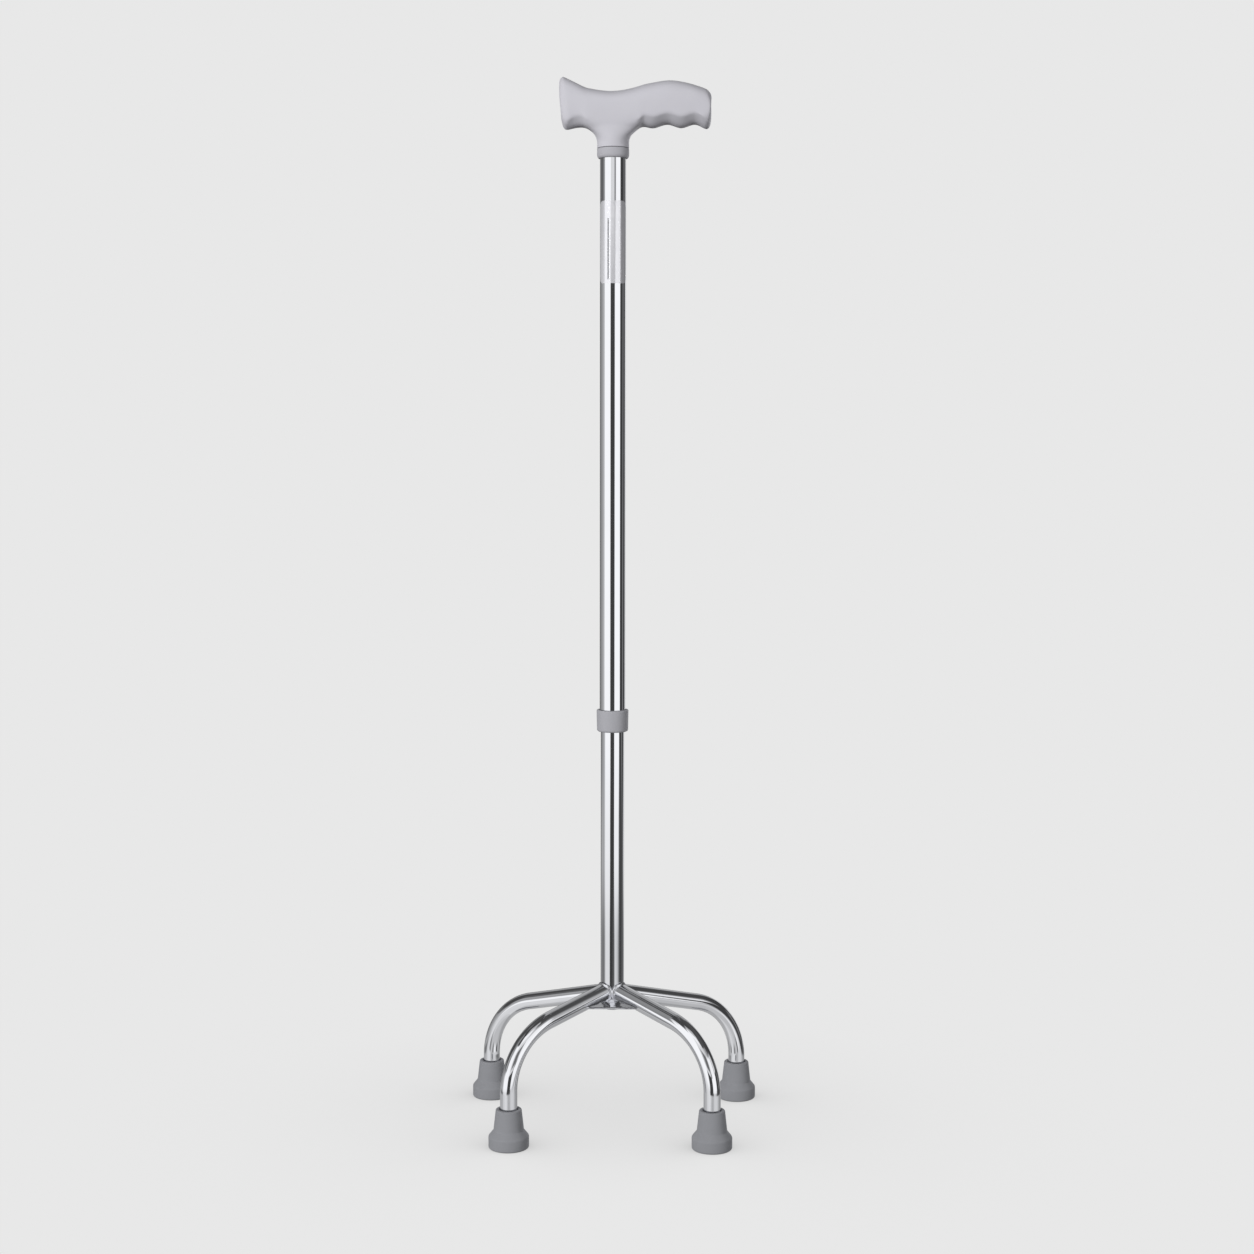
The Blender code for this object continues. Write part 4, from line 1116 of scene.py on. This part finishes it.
# What the chrome reflects, in rings from the floor up. Each ring gives the elevation of its top, how soft
# that edge is, and its bands: the azimuth where a band starts, in degrees from the camera's side round to
# the right, and its brightness, where 1 is a soft box.
STUDIO_WHITE = 1.22
STUDIO_RINGS = (
    # Pale paper floor, brightest under the soft boxes
    (-32, 6, ((-180, 0.40), (-138, 0.42), (-100, 0.52), (-78, 0.70), (-42, 0.62), (-10, 0.53), (65, 0.50),
              (85, 0.42), (100, 0.36), (150, 0.40))),
    # Farther off, the floor is broken up by the stands, the panels and their shadows
    (-20, 1.5, ((-180, 0.14), (-165, 0.50), (-138, 0.28), (-112, 0.46), (-88, 0.16), (-72, 0.74),
                (-38, 0.26), (-14, 0.56), (12, 0.14), (29, 0.86), (60, 0.60), (68, 0.09), (91, 0.50),
                (118, 0.14), (140, 0.46))),
    (-15.4, 0.8, ((-180, 0.14), (-170, 0.50), (-145, 0.36), (-112, 0.46), (-76, 0.66), (-52, 0.74),
                  (-20, 0.60), (-8, 0.45), (14, 0.50), (26, 0.66), (66, 0.62), (80, 0.46), (98, 0.34),
                  (118, 0.28), (148, 0.42), (171, 0.14))),
    # Soft boxes left and right of the dark place where the camera stands, dimmer towards their feet
    (-12.4, 1.2, ((-180, 0.06), (-158, 0.26), (-122, 0.18), (-84, 0.38), (-73, 0.76), (-25, 0.045), (3, 0.09),
                  (19, 0.34), (24, 0.66), (44, 0.54), (58, 0.30), (68, 0.10), (78, 0.05), (98, 0.09),
                  (128, 0.20), (148, 0.40))),
    (-9.4, 1.6, ((-180, 0.06), (-155, 0.26), (-130, 0.40), (-106, 0.38), (-88, 0.55), (-77, 0.90),
                 (-22, 0.045), (17, 0.92), (62, 0.50), (69, 0.06), (112, 0.13), (130, 0.35), (142, 0.75),
                 (160, 0.4), (172, 0.08))),
    (5.4, 1, ((-180, 0.06), (-160, 0.15), (-134, 0.27), (-110, 0.36), (-92, 0.50), (-77, 1.0), (-20, 0.05),
              (18, 1.0), (69, 0.05), (98, 0.20), (109, 0.05), (130, 0.18), (143, 0.80), (160, 0.5),
              (172, 0.08))),
    (11, 2, ((-180, 0.08), (-160, 0.22), (-134, 0.12), (-104, 0.15), (-90, 0.34), (-75, 1.0), (-18, 0.72),
             (13, 0.28), (27, 1.0), (70, 0.05), (108, 0.16), (122, 0.08), (136, 0.24), (148, 0.7),
             (166, 0.35), (174, 0.12))),
    # Tall upper parts of the boxes, with a dark joint between them in front
    (33, 3, ((-180, 0.45), (-162, 0.30), (-144, 0.06), (-95, 0.36), (-78, 0.24), (-64, 1.0), (-19, 0.5),
             (-8, 0.15), (17, 0.4), (24, 0.94), (64, 0.45), (74, 0.85), (84, 0.25), (94, 0.05), (150, 0.30),
             (164, 0.5))),
    (46, 2, ((-180, 0.42), (-162, 0.06), (-112, 0.12), (-90, 0.27), (-66, 0.70), (-54, 1.0), (-18, 0.72),
             (24, 0.55), (44, 0.30), (68, 0.12), (78, 0.06), (152, 0.35), (164, 0.45))),
    (60, 2, ((-180, 0.35), (-162, 0.07), (-92, 0.26), (-68, 0.06), (-38, 0.20), (-30, 0.95), (22, 0.60),
             (32, 0.08), (150, 0.12), (166, 0.30))),
    # Dark ceiling with one lamp
    (73, 3, ((-180, 0.38), (-164, 0.08), (-114, 0.18), (-96, 0.06), (-26, 0.48), (38, 0.07), (160, 0.20))),
    (90, 3, ((-180, 0.06),)),
)
BAND_SOFTNESS = 1.5

# Plain light that the plastics and rubber receive: a fill from above and below, blended at the horizon,
# and lamps that face the cane
UPPER_FILL = 0.19
LOWER_FILL = 0.05
FILL_BLEND = 0.1
LAMP_DISTANCE = 4.0
LAMPS = (
    # name, azimuth, elevation, size, level
    ("key_lamp", -37, 13, 1.6, 1.12),
    ("fill_lamp", 66, 6, 1.6, 0.36),
    ("back_key_lamp", 155, 8, 1.6, 0.60),
    ("back_fill_lamp", -150, 8, 1.6, 0.35),
)

# Paper floor. Its shade comes from what stands in the way of light from both sides, which falls at this
# tilt from upright, turned a little towards the camera
FLOOR_RADIUS = 3.0
FLOOR_SHADE = 0.74
FLOOR_SHADE_REACH = 0.35
FLOOR_SHADE_TILT = math.radians(68)
FLOOR_SHADE_TURN = math.radians(25)
FLOOR_SHADE_SAMPLES = 24

# Camera, where the photograph was taken from: a little above the cane's middle and tilted slightly down
CAMERA_PLACE = (0.0401, -1.8078, 0.590)
CAMERA_DOWN = math.radians(3.557)
CAMERA_ROLL = math.radians(-0.08)
CAMERA_TURN = math.radians(0.885)
CAMERA_SENSOR = 36.0
CAMERA_LENS = 60.32
CAMERA_SHIFT = -0.04


def band_ramp(tree, azimuth, bands):
    """Brightness round one ring of the studio."""
    node = add_node(tree, "ShaderNodeValToRGB", {"Fac": azimuth})
    stops = [(-180, bands[0][1])]
    for (_, before), (start, after) in zip(bands, bands[1:]):
        stops += [(start - BAND_SOFTNESS, before), (start + BAND_SOFTNESS, after)]
    stops.append((180, bands[-1][1]))
    elements = node.color_ramp.elements
    elements[0].position, elements[1].position = 0.0, 1.0
    for start, _ in stops[1:-1]:
        elements.new((start + 180) / 360)
    for element, (_, level) in zip(elements, stops):
        element.color = (level, level, level, 1)
    return node.outputs["Color"]


def studio_light(tree):
    """Brightness of the studio in the direction of a reflected ray, and that ray's elevation."""
    place = add_node(tree, "ShaderNodeTexCoord").outputs["Generated"]
    axes = add_node(tree, "ShaderNodeSeparateXYZ", {0: place}).outputs
    forwards = add_node(tree, "ShaderNodeMath", {0: axes[1], 1: -1.0}, operation="MULTIPLY").outputs[0]
    turn = add_node(tree, "ShaderNodeMath", {0: axes[0], 1: forwards}, operation="ARCTAN2").outputs[0]
    inputs = {"Value": turn, "From Min": -math.pi, "From Max": math.pi}
    azimuth = add_node(tree, "ShaderNodeMapRange", inputs).outputs[0]
    rise = add_node(tree, "ShaderNodeMath", {0: axes[2]}, operation="ARCSINE").outputs[0]
    light = None
    for top, softness, bands in reversed(STUDIO_RINGS):
        ring = band_ramp(tree, azimuth, bands)
        if light is None:
            light = ring
            continue
        low, high = math.radians(top - softness), math.radians(top + softness)
        inputs = {"Value": rise, "From Min": low, "From Max": high}
        over = add_node(tree, "ShaderNodeMapRange", inputs, interpolation_type="SMOOTHSTEP").outputs[0]
        inputs = {"Factor": over, 6: ring, 7: light}
        light = add_node(tree, "ShaderNodeMix", inputs, data_type="RGBA").outputs[2]
    return light, rise


def make_world():
    """Pale backdrop for the camera, the studio for reflections, and an even fill for everything else."""
    world = bpy.data.worlds.new("studio")
    bpy.context.scene.world = world
    world.use_nodes = True
    tree = world.node_tree
    tree.nodes.clear()
    light, rise = studio_light(tree)
    inputs = {
        "Value": rise,
        "From Min": -FILL_BLEND,
        "From Max": FILL_BLEND,
        "To Min": LOWER_FILL,
        "To Max": UPPER_FILL,
    }
    level = add_node(tree, "ShaderNodeMapRange", inputs).outputs[0]
    parts = ((light, STUDIO_WHITE), ((1, 1, 1, 1), level), (linear(BACKGROUND), 1.0))
    studio, fill, backdrop = [
        add_node(tree, "ShaderNodeBackground", {"Color": colour, "Strength": strength}).outputs[0]
        for colour, strength in parts
    ]
    ray = add_node(tree, "ShaderNodeLightPath").outputs
    inputs = {0: ray["Is Glossy Ray"], 1: fill, 2: studio}
    lit = add_node(tree, "ShaderNodeMixShader", inputs).outputs[0]
    inputs = {0: ray["Is Camera Ray"], 1: ray["Is Transmission Ray"]}
    seen = add_node(tree, "ShaderNodeMath", inputs, operation="MAXIMUM").outputs[0]
    shown = add_node(tree, "ShaderNodeMixShader", {0: seen, 1: lit, 2: backdrop}).outputs[0]
    add_node(tree, "ShaderNodeOutputWorld", {"Surface": shown})
    world.cycles.sampling_method = "NONE"


def make_lamp(name, azimuth, elevation, size, level):
    """Square lamp in a direction given in degrees, facing the middle of the cane. Its level is the
    brightness of a white surface that faces it there."""
    turn, rise = math.radians(azimuth), math.radians(elevation)
    towards = Vector((math.sin(turn) * math.cos(rise), -math.cos(turn) * math.cos(rise), math.sin(rise)))
    data = bpy.data.lights.new(name, "AREA")
    data.size = size
    data.energy = level * math.pi * math.pi * LAMP_DISTANCE ** 2
    lamp = bpy.data.objects.new(name, data)
    bpy.context.scene.collection.objects.link(lamp)
    lamp.location = Vector((0, 0, CAD_HIGH[2] / 2)) + LAMP_DISTANCE * towards
    lamp.rotation_euler = towards.to_track_quat("Z", "Y").to_euler()
    lamp.visible_glossy = False


def make_floor():
    """Pale paper floor, as bright as the backdrop, with the soft shade under and beside the cane."""
    deselect()
    bpy.ops.mesh.primitive_circle_add(vertices=96, radius=FLOOR_RADIUS, fill_type="NGON")
    floor = named("paper_floor")
    made = bpy.data.materials.new("matt_paper")
    made.use_nodes = True
    tree = made.node_tree
    tree.nodes.clear()
    shades = []
    for side in SIDES.values():
        across = side * math.sin(FLOOR_SHADE_TILT) * math.cos(FLOOR_SHADE_TURN)
        forwards = -math.sin(FLOOR_SHADE_TILT) * math.sin(FLOOR_SHADE_TURN)
        inputs = {"X": across, "Y": forwards, "Z": math.cos(FLOOR_SHADE_TILT)}
        light_way = add_node(tree, "ShaderNodeCombineXYZ", inputs).outputs[0]
        inputs = {"Distance": FLOOR_SHADE_REACH, "Normal": light_way}
        open_sky = add_node(tree, "ShaderNodeAmbientOcclusion", inputs, samples=FLOOR_SHADE_SAMPLES)
        shades.append(open_sky.outputs["AO"])
    shade = add_node(tree, "ShaderNodeMath", {0: shades[0], 1: shades[1]}, operation="ADD").outputs[0]
    inputs = {"Value": shade, "From Max": len(shades), "To Min": 1 - FLOOR_SHADE, "To Max": 1.0}
    level = add_node(tree, "ShaderNodeMapRange", inputs).outputs[0]
    paper = add_node(tree, "ShaderNodeEmission", {"Color": linear(BACKGROUND), "Strength": level})
    add_node(tree, "ShaderNodeOutputMaterial", {"Surface": paper.outputs[0]})
    made.cycles.emission_sampling = "NONE"
    floor.data.materials.append(made)
    floor.visible_glossy = False
    floor.visible_diffuse = False


def make_camera():
    camera = bpy.data.objects.new("camera", bpy.data.cameras.new("camera"))
    bpy.context.scene.collection.objects.link(camera)
    camera.location = CAMERA_PLACE
    camera.rotation_euler = (math.pi / 2 - CAMERA_DOWN, CAMERA_ROLL, CAMERA_TURN)
    camera.data.sensor_width = CAMERA_SENSOR
    camera.data.lens = CAMERA_LENS
    camera.data.shift_y = CAMERA_SHIFT
    bpy.context.scene.camera = camera


make_world()
for lamp in LAMPS:
    make_lamp(*lamp)
make_floor()
make_camera()

bpy.context.scene.view_settings.view_transform = "Standard"
